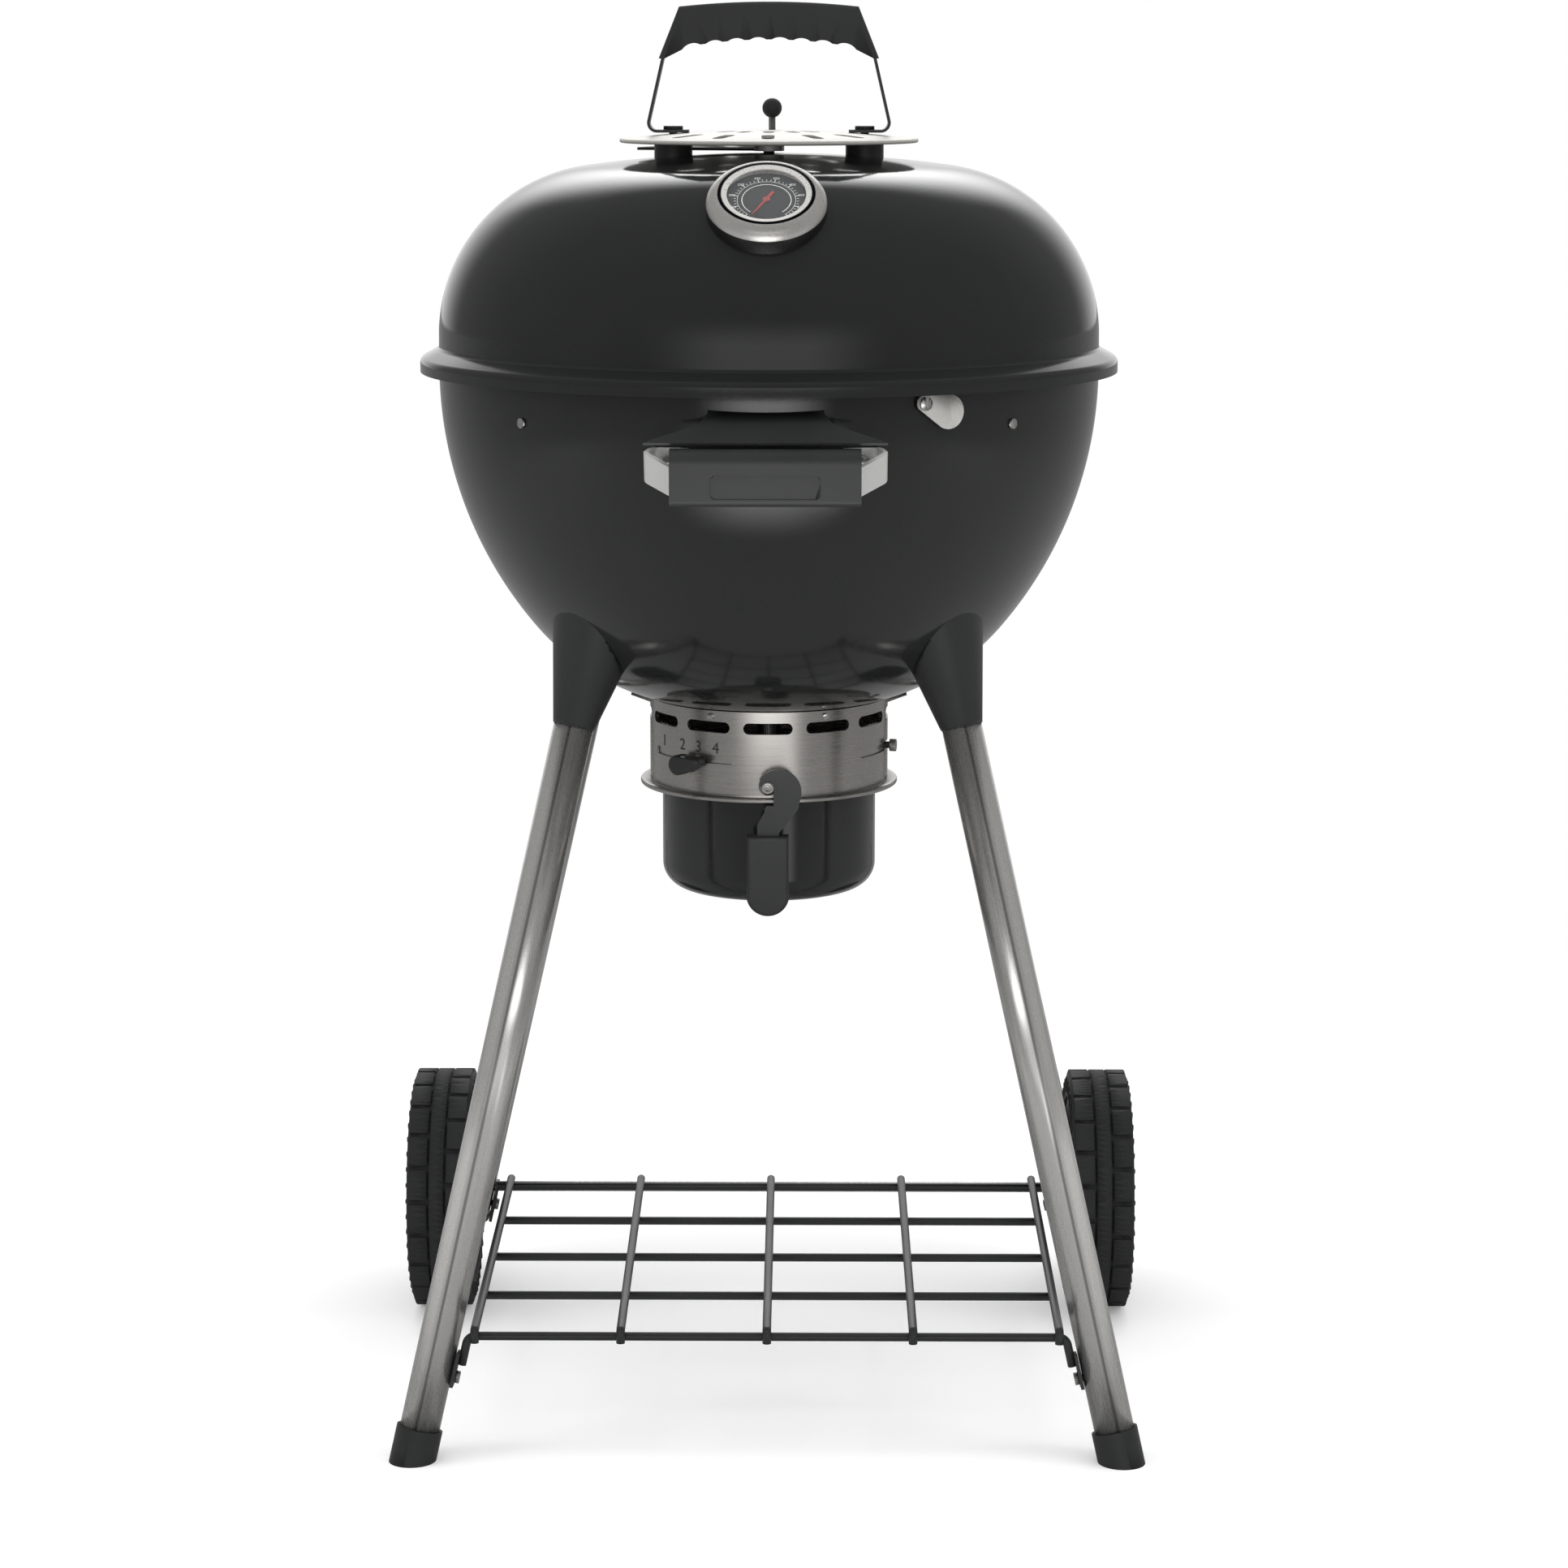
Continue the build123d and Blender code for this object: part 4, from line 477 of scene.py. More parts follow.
@dataclass(frozen=True)
class Moulded:
    """Moulded plastic, rubber, paint or ink with a fine grain."""

    name: str
    colour: Colour
    rough: float = 0.5
    grain: float = 1500.0
    depth: float = 0.00008
    level: float = 0.4
    strength: float = 0.4
    scuff: Noise = Noise(22.0, 4.0)
    wear: Wear = Wear(tone=(0.7, 0.3), shade=(1.0, 1.7), rough=(0.10, 0.14), ease=0.12)

    def make(self) -> bpy.types.Material:
        """Build the material."""
        graph = FinishGraph(self.name)
        spot = graph.place()
        grain = Noise(self.grain, rough=0.6).over(graph, spot)
        scuff = self.scuff.over(graph, spot)
        graph.feed("Base Color", self.wear.tint(graph, scuff, grain, self.colour))
        graph.feed("Roughness", self.wear.dull(scuff, grain, self.rough))
        graph.bump(grain, self.depth, self.strength)
        graph.fix(Specular_IOR_Level=self.level)
        return graph.material


@dataclass(frozen=True)
class Plated:
    """Plated wire or fastener with faint stains."""

    name: str
    colour: Colour = (0.56, 0.55, 0.53)
    rough: float = 0.26
    depth: float = 0.00003
    strength: float = 0.4
    stain: Noise = Noise(60.0, 5.0, 0.6)
    fine: Noise = Noise(700.0, 2.0)
    wear: Wear = Wear(tone=(0.8, 0.2), shade=(0.72, 1.0), rough=(0.14, 0.08), ease=0.1)

    def make(self) -> bpy.types.Material:
        """Build the material."""
        graph = FinishGraph(self.name)
        spot = graph.place()
        stain = self.stain.over(graph, spot)
        fine = self.fine.over(graph, spot)
        graph.feed("Base Color", self.wear.tint(graph, stain, fine, self.colour))
        graph.feed("Roughness", self.wear.dull(stain, fine, self.rough))
        graph.bump(fine, self.depth, self.strength)
        graph.fix(Metallic=1.0)
        return graph.material


@dataclass(frozen=True)
class Clear:
    """Thin clear cover glass with faint smears."""

    name: str
    colour: Colour = (0.9, 0.93, 0.95)
    cover: float = 0.04
    level: float = 0.25
    rough: float = 0.01
    smear: Noise = Noise(70.0)
    smear_rough: float = 0.05

    def make(self) -> bpy.types.Material:
        """Build the material."""
        graph = FinishGraph(self.name)
        smear = self.smear.over(graph, graph.place())
        graph.feed("Roughness", smear * self.smear_rough + self.rough)
        graph.fix(Base_Color=(*self.colour, 1.0), Alpha=self.cover, Specular_IOR_Level=self.level)
        return graph.material


class FinishStore:
    """Makes each finish once and hands it out by name."""

    def __init__(self) -> None:
        """Start with no finishes made."""
        self.made: Dict[str, bpy.types.Material] = {}

    def get(self, finish: Any) -> bpy.types.Material:
        """Material of a finish, made on first use."""
        if finish.name not in self.made:
            self.made[finish.name] = finish.make()
        return self.made[finish.name]


FINISHES = FinishStore()
BLACK_ENAMEL = Enamel("black_enamel")
POT_ENAMEL = Enamel("pot_enamel", (0.0108, 0.0113, 0.0114), gloss=0.13)
GRIP_PLASTIC = Moulded("grip_plastic", (0.015, 0.0155, 0.016))
SOCKET_PLASTIC = Moulded("socket_plastic", (0.013, 0.0135, 0.014), rough=0.42, grain=1200.0)
WHEEL_PLASTIC = Moulded("wheel_plastic", (0.014, 0.0145, 0.015), rough=0.46)
TREAD = Moulded("tread", (0.014, 0.0145, 0.015), rough=0.62, grain=900.0, depth=0.00012, level=0.3)
GROMMET = Moulded("grommet_rubber", (0.014, 0.014, 0.014), rough=0.7)
BLACK_PAINT = Moulded(
    "black_paint", (0.015, 0.0155, 0.016), rough=0.36, grain=700.0, depth=0.00003, level=0.45
)
COLLAR_STEEL = BrushedMetal(
    "collar_steel", (0.42, 0.405, 0.385), Brush.ROUND, rough=0.27, depth=0.000018, metal=0.95
)
COVER_STEEL = BrushedMetal("cover_steel", (0.70, 0.69, 0.66), Brush.SATIN, rough=0.42, metal=0.45)
SHIELD_METAL = BrushedMetal("shield_metal", (0.52, 0.505, 0.47), Brush.SATIN, rough=0.44, metal=0.5)
STRAP_ALUMINIUM = BrushedMetal("strap_aluminium", (0.56, 0.56, 0.55), Brush.SATIN, rough=0.42, metal=0.3)
# The bezel and the case get painted shade in the groove round the dial, and the bezel also on its lower flank.
BEZEL_METAL = BrushedMetal(
    "bezel_metal", (0.58, 0.565, 0.54), Brush.SATIN, metal=0.75, tone=GaugeBand(low=0.0034, inner=0.0330)
)
CASE_METAL = BrushedMetal(
    "case_metal", (0.74, 0.72, 0.69), Brush.SATIN, metal=0.4, tone=GaugeBand(outer=0.0303)
)
VENT_STEEL = BrushedMetal("vent_steel", (0.45, 0.44, 0.43), Brush.ROUND, rough=0.36)
FASTENER = Plated("fastener")
GRATE_WIRE = Plated("grate_wire", (0.50, 0.50, 0.49), rough=0.3)
DIAL_FACE = Moulded("dial_face", (0.010, 0.010, 0.010), rough=0.55, grain=1200.0, depth=0.00002, level=0.3)
DIAL_INK = Moulded("dial_ink", (0.62, 0.62, 0.60), rough=0.6, grain=1200.0, depth=0.00001, level=0.3)
COLLAR_INK = Moulded("collar_ink", (0.020, 0.020, 0.020), rough=0.6, grain=1200.0, depth=0.00001, level=0.3)
NEEDLE_RED = Moulded("needle_red", (0.24, 0.012, 0.011), rough=0.45, grain=1200.0, depth=0.00001, level=0.35)
LENS = Clear("dial_lens")


def link(name: str, data: bpy.types.ID) -> bpy.types.Object:
    """Put a mesh, text, lamp or camera into the scene, at the origin.

    Args:
        name: The object's name.
        data: What it shows.

    Returns:
        The new object.
    """
    made = bpy.data.objects.new(name, data)
    bpy.context.scene.collection.objects.link(made)
    return made


def settle(name: str, work: bmesh.types.BMesh) -> bpy.types.Mesh:
    """Make a working mesh a plain one, and free it.

    Args:
        name: The mesh's name.
        work: The working mesh.

    Returns:
        The plain mesh.
    """
    mesh = bpy.data.meshes.new(name)
    work.to_mesh(mesh)
    work.free()
    return mesh


def smooth(mesh: bpy.types.Mesh, angle: float = 35.0) -> None:
    """Shade a mesh smooth, with creases kept sharp.

    Args:
        mesh: The mesh.
        angle: Angle in degrees above which an edge stays sharp.
    """
    mesh.polygons.foreach_set("use_smooth", [True] * len(mesh.polygons))
    mesh.set_sharp_from_angle(angle=math.radians(angle))
    mesh.update()


def turned(mesh: bpy.types.Mesh, share: float = 0.94) -> None:
    """Give upright walls about the kettle's axis the true normals of their cylinder.

    Args:
        mesh: The mesh, already shaded smooth.
        share: Least cosine between a facet and its cylinder.
    """
    normals = []
    for polygon in mesh.polygons:
        for index in polygon.loop_indices:
            place = mesh.vertices[mesh.loops[index].vertex_index].co
            out = Vector((place.x, place.y, 0.0)).normalized()
            lean = polygon.normal.dot(out)
            true = out * math.copysign(1.0, lean)
            normals.append(true if abs(lean) > share else mesh.corner_normals[index].vector)
    mesh.normals_split_custom_set(normals)


def seat(piece: bpy.types.Object, body: Body, slot: str, *nodes: str) -> bpy.types.Object:
    """Fix a finished piece to its body.

    Args:
        piece: The piece.
        body: Body that it moves with.
        slot: Material slot of the record; not used.
        nodes: Solids that it stands for.

    Returns:
        The piece.
    """
    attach(piece, body.value)
    if nodes:
        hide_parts(*nodes)
    LOG.info("%s rides on %s", piece.name, body.value)
    return piece


def lathe(name: str, profile: Sequence[Point2], steps: int) -> bpy.types.Mesh:
    """Turn a closed section about the kettle's axis.

    Args:
        name: The mesh's name.
        profile: Radius and height of each point, in metres.
        steps: Facets round the axis.

    Returns:
        The turned mesh, with its faces outwards.
    """
    work = bmesh.new()
    turns = [2 * math.pi * step / steps for step in range(steps)]
    rings: List[List[bmesh.types.BMVert]] = []
    for radius, height in profile:
        if radius < 1e-6:
            rings.append([work.verts.new((0, 0, height))])
        else:
            rings.append([work.verts.new((radius * math.cos(t), radius * math.sin(t), height)) for t in turns])
    for low, high in zip(rings, rings[1:] + rings[:1]):
        if len(low) == 1 and len(high) == 1:
            continue
        for step in range(steps):
            after = (step + 1) % steps
            corners = [low[step % len(low)], low[after % len(low)]]
            corners += [high[after % len(high)], high[step % len(high)]]
            work.faces.new(list(dict.fromkeys(corners)))
    bmesh.ops.recalc_face_normals(work, faces=work.faces)
    return settle(name, work)


def arc(centre: Point2, radius: float, start: float, end: float, count: int) -> List[Point2]:
    """Points of an arc in a section.

    Args:
        centre: Its centre.
        radius: Its radius.
        start: First angle in degrees, up from the radius.
        end: Last angle.
        count: Number of points.

    Returns:
        The points in order.
    """
    turns = [math.radians(start + (end - start) * step / (count - 1)) for step in range(count)]
    return [(centre[0] + radius * math.cos(t), centre[1] + radius * math.sin(t)) for t in turns]


def rounded(points: Sequence[Point2], radii: Sequence[float], count: int = 9) -> List[Point2]:
    """Polyline with rounded inner corners.

    Args:
        points: Its corners, ends included.
        radii: Radius at each inner corner.
        count: Points on each round.

    Returns:
        The points of the rounded line.
    """
    line = [points[0]]
    for before, corner, after, radius in zip(points, points[1:], points[2:], radii):
        here = Vector(corner)
        back = (Vector(before) - here).normalized()
        ahead = (Vector(after) - here).normalized()
        half = math.acos(max(-1.0, min(1.0, back.dot(ahead)))) / 2
        reach = radius / math.tan(half)
        centre = here + (back + ahead).normalized() * (radius / math.sin(half))
        start, end = here + back * reach - centre, here + ahead * reach - centre
        for step in range(count):
            spoke = start.lerp(end, step / (count - 1)).normalized() * radius
            line.append(tuple(centre + spoke))
    line.append(points[-1])
    return line


@dataclass
class EnamelForms:
    """Bowl, lid and ash pot, lathed again as smooth enamel skins."""

    bowl_r: float = 0.237
    wall: float = 0.0016
    rim_z: float = 0.762
    side_arc: float = 0.287
    side_turn: float = 40.0
    side_points: int = 44
    base_arc: float = 0.165
    base_points: int = 40
    bead_r: float = 0.004
    bead_out: float = 0.0035
    bead_gap: float = 0.0003
    bead_sink: float = 8.0
    bead_points: int = 40
    neck_r: float = 0.0858
    neck_wall: float = 0.0015
    neck_low: float = 0.5179
    lid_top: float = 0.9147
    crown_arc: float = 1.0
    crown_points: int = 30
    shoulder_arc: float = 0.122
    shoulder_points: int = 60
    skirt_r: float = 0.2505
    wall_drop: float = 0.0106
    skirt_slope: float = 62.0
    skirt_round: float = 0.005
    root_round: float = 0.003
    skirt_drop: float = 0.0165
    pot_r: float = 0.078
    pot_wall: float = 0.0015
    pot_low: float = 0.382
    pot_top: float = 0.468
    pot_round: float = 0.018
    pot_points: int = 24
    pot_lip_r: float = 0.0854
    pot_lip: float = 0.003
    pot_lip_edge: float = 0.0004
    facets: int = 288
    pot_facets: int = 192
    crease: float = 40.0

    def __post_init__(self) -> None:
        """Work out the centres of the arcs."""
        turn = math.radians(self.side_turn)
        span = self.side_arc - self.base_arc
        side_x = self.bowl_r - self.side_arc
        self.side_centre = (side_x, self.rim_z)
        self.base_centre = (side_x + span * math.cos(turn), self.rim_z - span * math.sin(turn))
        gap = self.crown_arc - self.shoulder_arc
        crown_z = self.lid_top - self.crown_arc
        self.crown_turn = math.asin((self.bowl_r - self.shoulder_arc) / gap)
        self.crown_centre = (0.0, crown_z)
        self.shoulder_centre = (gap * math.sin(self.crown_turn), crown_z + gap * math.cos(self.crown_turn))
        self.root_z = self.shoulder_centre[1] + self.root_round - self.wall_drop
        slope = math.radians(self.skirt_slope)
        reach = self.bead_r + self.bead_gap + self.wall
        self.bead_z = self.root_z - self.bead_out / math.tan(slope) - reach / math.sin(slope)

    def bowl_line(self, inset: float) -> List[Point2]:
        """Section of the bowl from its neck up to its rim.

        Args:
            inset: Distance in from the outer face.

        Returns:
            The points of the line.
        """
        base, side = self.base_arc - inset, self.side_arc - inset
        neck = self.neck_r - (self.neck_wall if inset else 0.0)
        low = -math.degrees(math.acos((neck - self.base_centre[0]) / base))
        line = arc(self.base_centre, base, low, -self.side_turn, self.base_points)
        return line + arc(self.side_centre, side, -self.side_turn, 0.0, self.side_points)[1:]

    def bowl_profile(self) -> List[Point2]:
        """Section of the bowl with its neck and rim bead.

        Returns:
            The points of the closed section.
        """
        bead = (self.bowl_r + self.bead_out, self.bead_z)
        meet = math.degrees(math.acos(self.bead_out / self.bead_r)) - self.bead_sink
        return (
            [(self.neck_r, self.neck_low)]
            + self.bowl_line(0.0)
            + arc(bead, self.bead_r, 180 + meet, 540 - meet, self.bead_points)
            + [(self.bowl_r - self.wall, self.bead_z)]
            + self.bowl_line(self.wall)[::-1]
            + [(self.neck_r - self.neck_wall, self.neck_low)]
        )

    def lid_line(self, inset: float) -> List[Point2]:
        """Section of the lid from its crown to its skirt.

        Args:
            inset: Distance in from the outer face.

        Returns:
            The points of the line.
        """
        crown, shoulder = self.crown_arc - inset, self.shoulder_arc - inset
        up = 90 - math.degrees(self.crown_turn)
        wall_turn = math.degrees(math.asin(2 * self.root_round / self.shoulder_arc))
        slope = math.radians(self.skirt_slope)
        root_z = self.root_z - inset * math.tan(slope / 2)
        line = arc(self.crown_centre, crown, 90, up, self.crown_points)
        line += arc(self.shoulder_centre, shoulder, up, wall_turn, self.shoulder_points)[1:]
        corners = [
            line[-1],
            (self.bowl_r - inset, root_z),
            (self.skirt_r - inset, root_z - (self.skirt_r - self.bowl_r) / math.tan(slope)),
            (self.skirt_r - inset, self.root_z - self.skirt_drop),
        ]
        return line + rounded(corners, [self.root_round + inset, self.skirt_round - inset])[1:]

    def pot_line(self, inset: float, top: float) -> List[Point2]:
        """Section of the pot from its middle up to a height, inset from the outer face."""
        low, side = self.pot_low + inset, self.pot_r - inset
        return rounded([(0.0, low), (side, low), (side, top)], [self.pot_round - inset], self.pot_points)

    def pot_profile(self) -> List[Point2]:
        """Section of the pot with its lip.

        Returns:
            The points of the closed section.
        """
        lip, edge = self.pot_top - self.pot_lip, self.pot_lip_edge
        return (
            self.pot_line(0.0, lip)
            + [(self.pot_lip_r - edge, lip), (self.pot_lip_r, lip + edge), (self.pot_lip_r, self.pot_top)]
            + self.pot_line(self.pot_wall, self.pot_top)[::-1]
        )

    def build(self) -> None:
        """Lathe the three forms and seat them."""
        lid_profile = self.lid_line(0.0) + self.lid_line(self.wall)[::-1]
        for name, profile, facets, finish, body, slot, node in (
            ("bowl_skin", self.bowl_profile(), self.facets, BLACK_ENAMEL, Body.KETTLE, "enamel", "bowl"),
            ("lid_skin", lid_profile, self.facets, BLACK_ENAMEL, Body.LID, "enamel", "lid_shell"),
            ("pot_skin", self.pot_profile(), self.pot_facets, POT_ENAMEL, Body.ASH_POT, "pot_enamel", "ash_pot"),
        ):
            mesh = lathe(name, profile, facets)
            smooth(mesh, self.crease)
            mesh.materials.append(FINISHES.get(finish))
            seat(link(name, mesh), body, slot, node)


@dataclass(frozen=True)
class Coat:
    """Finish of some solids that keep their shape."""

    finish: Any
    slot: str
    nodes: Tuple[str, ...]
    crease: float = 32.0
    turned: bool = False


SOCKETS = tuple(f"leg_socket_{end}_{side}" for end in ("front", "rear") for side in ("left", "right"))
COATS = (
    Coat(
        GRIP_PLASTIC, "black_plastic",
        ("handle_grip", "latch_grip", "lever_knob", "vent_knob", "hub_caps", "rear_leg_plugs"),
    ),
    Coat(GRIP_PLASTIC, "black_plastic", ("front_handle_grip",), crease=12.0),
    Coat(SOCKET_PLASTIC, "black_plastic", SOCKETS + ("foot_cap_left", "foot_cap_right"), crease=40.0),
    Coat(WHEEL_PLASTIC, "wheel_plastic", ("wheel_hub_left", "wheel_hub_right")),
    Coat(TREAD, "tread", ("tyre_left", "tyre_right")),
    Coat(GROMMET, "grommet_rubber", ("probe_grommet",)),
    Coat(
        BLACK_PAINT, "black_paint",
        ("front_handle_hood", "latch_plate", "bottom_rack", "grate_brackets", "handle_strap", "shield_spacers",
         "handle_bolts"),
    ),
    Coat(COLLAR_STEEL, "collar_steel", ("air_collar", "air_sleeve"), turned=True),
    Coat(COVER_STEEL, "collar_steel", ("probe_cover",)),
    Coat(SHIELD_METAL, "shield_metal", ("heat_shield",)),
    Coat(STRAP_ALUMINIUM, "strap_aluminium", ("front_handle_bracket_left", "front_handle_bracket_right")),
    Coat(BEZEL_METAL, "bezel_metal", ("thermometer_bezel",), crease=25.0),
    Coat(CASE_METAL, "bezel_metal", ("thermometer_case",), crease=25.0),
    Coat(DIAL_FACE, "dial_face", ("thermometer_dial",)),
    Coat(LENS, "dial_glass", ("thermometer_lens",)),
    Coat(NEEDLE_RED, "needle_red", ("thermometer_needle",)),
    Coat(
        FASTENER, "fastener",
        ("thermometer_stem", "bracket_screws", "front_handle_screws", "probe_screw", "socket_screws",
         "rack_screws", "collar_rivets", "latch_bolt", "wheel_axle"),
    ),
    Coat(GRATE_WIRE, "grate_wire", ("cooking_grate", "charcoal_grate")),
    Coat(
        VENT_STEEL, "vent_steel",
        ("vent_damper", "vent_post", "vent_lever_rod", "lever_pins", "sweeper_blades"),
    ),
)


@dataclass
class DressedSolids:
    """Every solid that keeps its form, as a smooth-shaded copy with its finish."""

    leg_top: Point3 = (0.1371, 0.1036, 0.517)
    foot: Point3 = (0.2521, 0.1804, 0.0)
    axle: Point3 = (0.235, 0.192, 0.094)
    leg_colour: Colour = (0.86, 0.845, 0.82)
    leg_rough: float = 0.27
    leg_lines: float = 900.0
    leg_metal: float = 0.85
    leg_crease: float = 60.0
    merge_gap: float = 0.00001

    def leg_coats(self) -> List[Coat]:
        """Finishes of the four legs, each brushed along its own run, with a painted highlight, painted shade and
        a dark painted reflection across its tube.

        Returns:
            One coat for each leg.
        """
        coats = []
        for side, across in (("left", -1), ("right", 1)):
            for end, deep, low in (("front", -1, self.foot), ("rear", 1, self.axle)):
                mirror = Vector((across, deep, 1.0))
                start = Vector(self.leg_top) * mirror
                run = start - Vector(low) * mirror
                outward = run.cross(Vector((0.0, 1.0, 0.0))).normalized()
                outward *= math.copysign(1.0, across * outward.x)
                # Steel with painted light across the tube, its painted highlight on the outward flank.
                steel = BrushedMetal(
                    f"leg_steel_{end}_{side}", self.leg_colour, Brush.ALONG, self.leg_rough, tuple(run),
                    self.leg_lines, metal=self.leg_metal, tone=TubeLines(tuple(start), tuple(outward)),
                )
                coats.append(Coat(steel, "leg_steel", (f"leg_{end}_{side}",), self.leg_crease))
        return coats

    def build(self) -> None:
        """Copy, smooth and dress each solid."""
        bodies = frame["record"]["behaviour"]["bodies"]
        home = {node: Body(body) for body, nodes in bodies.items() for node in nodes}
        for coat in (*COATS, *self.leg_coats()):
            for node in coat.nodes:
                mesh = frame["nodes"][node].data.copy()
                mesh.name = f"{node}_form"
                work = bmesh.new()
                work.from_mesh(mesh)
                bmesh.ops.remove_doubles(work, verts=work.verts, dist=self.merge_gap)
                work.to_mesh(mesh)
                work.free()
                mesh.materials.clear()
                mesh.materials.append(FINISHES.get(coat.finish))
                smooth(mesh, coat.crease)
                if coat.turned:
                    turned(mesh)
                seat(link(f"{node}_form", mesh), home[node], coat.slot, node)


class Repeater:
    """Geometry Nodes tree that sets one small form on many seats."""

    def __init__(self, name: str) -> None:
        """Build the tree.

        Args:
            name: The tree's name.
        """
        self.tree = bpy.data.node_groups.new(name, "GeometryNodeTree")
        self._socket("Geometry", "Geometry")
        self.form = self._socket("Form", "Object")
        self.size = self._socket("Size", "Float")
        self.finish = self._socket("Finish", "Material")
        self._socket("Geometry", "Geometry", "OUTPUT")
        graph = Graph(self.tree)
        points, form, size, finish = graph.node("NodeGroupInput").outputs("Geometry", "Form", "Size", "Finish")
        shape = graph.node("GeometryNodeObjectInfo", inputs={"Object": form}, output="Geometry")
        settings = {"data_type": "FLOAT_VECTOR"}
        out, along = (
            graph.node("GeometryNodeInputNamedAttribute", settings, {"Name": label}, "Attribute")
            for label in ("out", "along")
        )
        align = "FunctionNodeAlignRotationToVector"
        lean = graph.node(align, {"axis": "Z"}, {"Vector": out})
        turn = graph.node(align, {"axis": "X", "pivot_axis": "Z"}, {"Rotation": lean, "Vector": along})
        values = {"Points": points, "Instance": shape, "Rotation": turn, "Scale": size}
        spread = graph.node("GeometryNodeInstanceOnPoints", inputs=values)
        solid = graph.node("GeometryNodeRealizeInstances", inputs={"Geometry": spread})
        paint = graph.node("GeometryNodeSetMaterial", inputs={"Geometry": solid, "Material": finish})
        graph.node("NodeGroupOutput", inputs={"Geometry": paint})

    def _socket(self, name: str, kind: str, way: str = "INPUT") -> bpy.types.NodeTreeInterfaceSocket:
        """Add an input or output to the tree."""
        return self.tree.interface.new_socket(name, in_out=way, socket_type=f"NodeSocket{kind}")

    def spread(
        self,
        name: str,
        form: bpy.types.Mesh,
        seats: Sequence[Tuple[Vector, Vector, Vector]],
        material: bpy.types.Material,
        size: float = 1.0,
    ) -> bpy.types.Object:
        """Set a form on seats and make the result a plain mesh.

        Args:
            name: The piece's name.
            form: The small form, standing on its local XY plane.
            seats: Place, outward direction and x direction of each.
            material: Finish of the result.
            size: Scale of the form.

        Returns:
            The finished piece.
        """
        points = bpy.data.meshes.new(f"{name}_seats")
        points.from_pydata([tuple(place) for place, _, _ in seats], [], [])
        for label, column in (("out", 1), ("along", 2)):
            field = points.attributes.new(label, "FLOAT_VECTOR", "POINT")
            field.data.foreach_set("vector", [value for row in seats for value in row[column]])
        source = link(f"{name}_source", form)
        carrier = link(name, points)
        modifier = carrier.modifiers.new("spread", "NODES")
        modifier.node_group = self.tree
        modifier[self.form.identifier] = source
        modifier[self.size.identifier] = size
        modifier[self.finish.identifier] = material
        graph = bpy.context.evaluated_depsgraph_get()
        graph.update()
        mesh = bpy.data.meshes.new_from_object(carrier.evaluated_get(graph))
        carrier.modifiers.remove(modifier)
        carrier.data = mesh
        bpy.data.objects.remove(source)
        smooth(mesh)
        return carrier


def oblong(half: Point2) -> List[Point2]:
    """Corners of a rectangle about the origin, from half its width and half its depth."""
    return [(-half[0], -half[1]), (half[0], -half[1]), (half[0], half[1]), (-half[0], half[1])]


def prism(name: str, outline: Sequence[Point2], low: float, high: float, edge: float = 0.0) -> bpy.types.Mesh:
    """Upright prism over an outline, with an optional bevelled top.

    Args:
        name: The mesh's name.
        outline: Corners in order, in metres.
        low: Height of its bottom.
        high: Height of its top.
        edge: Width of the bevel round its top.

    Returns:
        The mesh.
    """
    work = bmesh.new()
    face = work.faces.new([work.verts.new((x, y, low)) for x, y in outline])
    for item in bmesh.ops.extrude_face_region(work, geom=[face])["geom"]:
        if isinstance(item, bmesh.types.BMVert):
            item.co.z = high
    bmesh.ops.recalc_face_normals(work, faces=work.faces)
    if edge > 0:
        rim = [e for e in work.edges if all(abs(v.co.z - high) < 1e-9 for v in e.verts)]
        bmesh.ops.bevel(work, geom=rim, offset=edge, segments=2, profile=0.6, affect="EDGES")
    return settle(name, work)


def words(name: str, text: str, height: float, thick: float, ratio: float = 1.38) -> bpy.types.Mesh:
    """Flat raised figures as a mesh centred on its local origin.

    Args:
        name: The mesh's name.
        text: Figures to set.
        height: Height of a figure in metres.
        thick: Thickness of the ink.
        ratio: Size of the type over the height of a figure.

    Returns:
        The mesh in the local XY plane.
    """
    curve = bpy.data.curves.new(name, "FONT")
    curve.body = text
    curve.align_x = "CENTER"
    curve.align_y = "CENTER"
    curve.size = height * ratio
    curve.extrude = thick / 2
    curve.resolution_u = 3
    holder = link(f"{name}_text", curve)
    graph = bpy.context.evaluated_depsgraph_get()
    mesh = bpy.data.meshes.new_from_object(holder.evaluated_get(graph))
    bpy.data.objects.remove(holder)
    mesh.name = name
    return mesh


def merge(name: str, parts: Sequence[bpy.types.Mesh], material: bpy.types.Material) -> bpy.types.Object:
    """Join meshes into one piece with one finish.

    Args:
        name: The piece's name.
        parts: Meshes already in place.
        material: The finish.

    Returns:
        The joined piece.
    """
    work = bmesh.new()
    for part in parts:
        work.from_mesh(part)
    mesh = settle(name, work)
    mesh.materials.append(material)
    for polygon in mesh.polygons:
        polygon.material_index = 0
    return link(name, mesh)


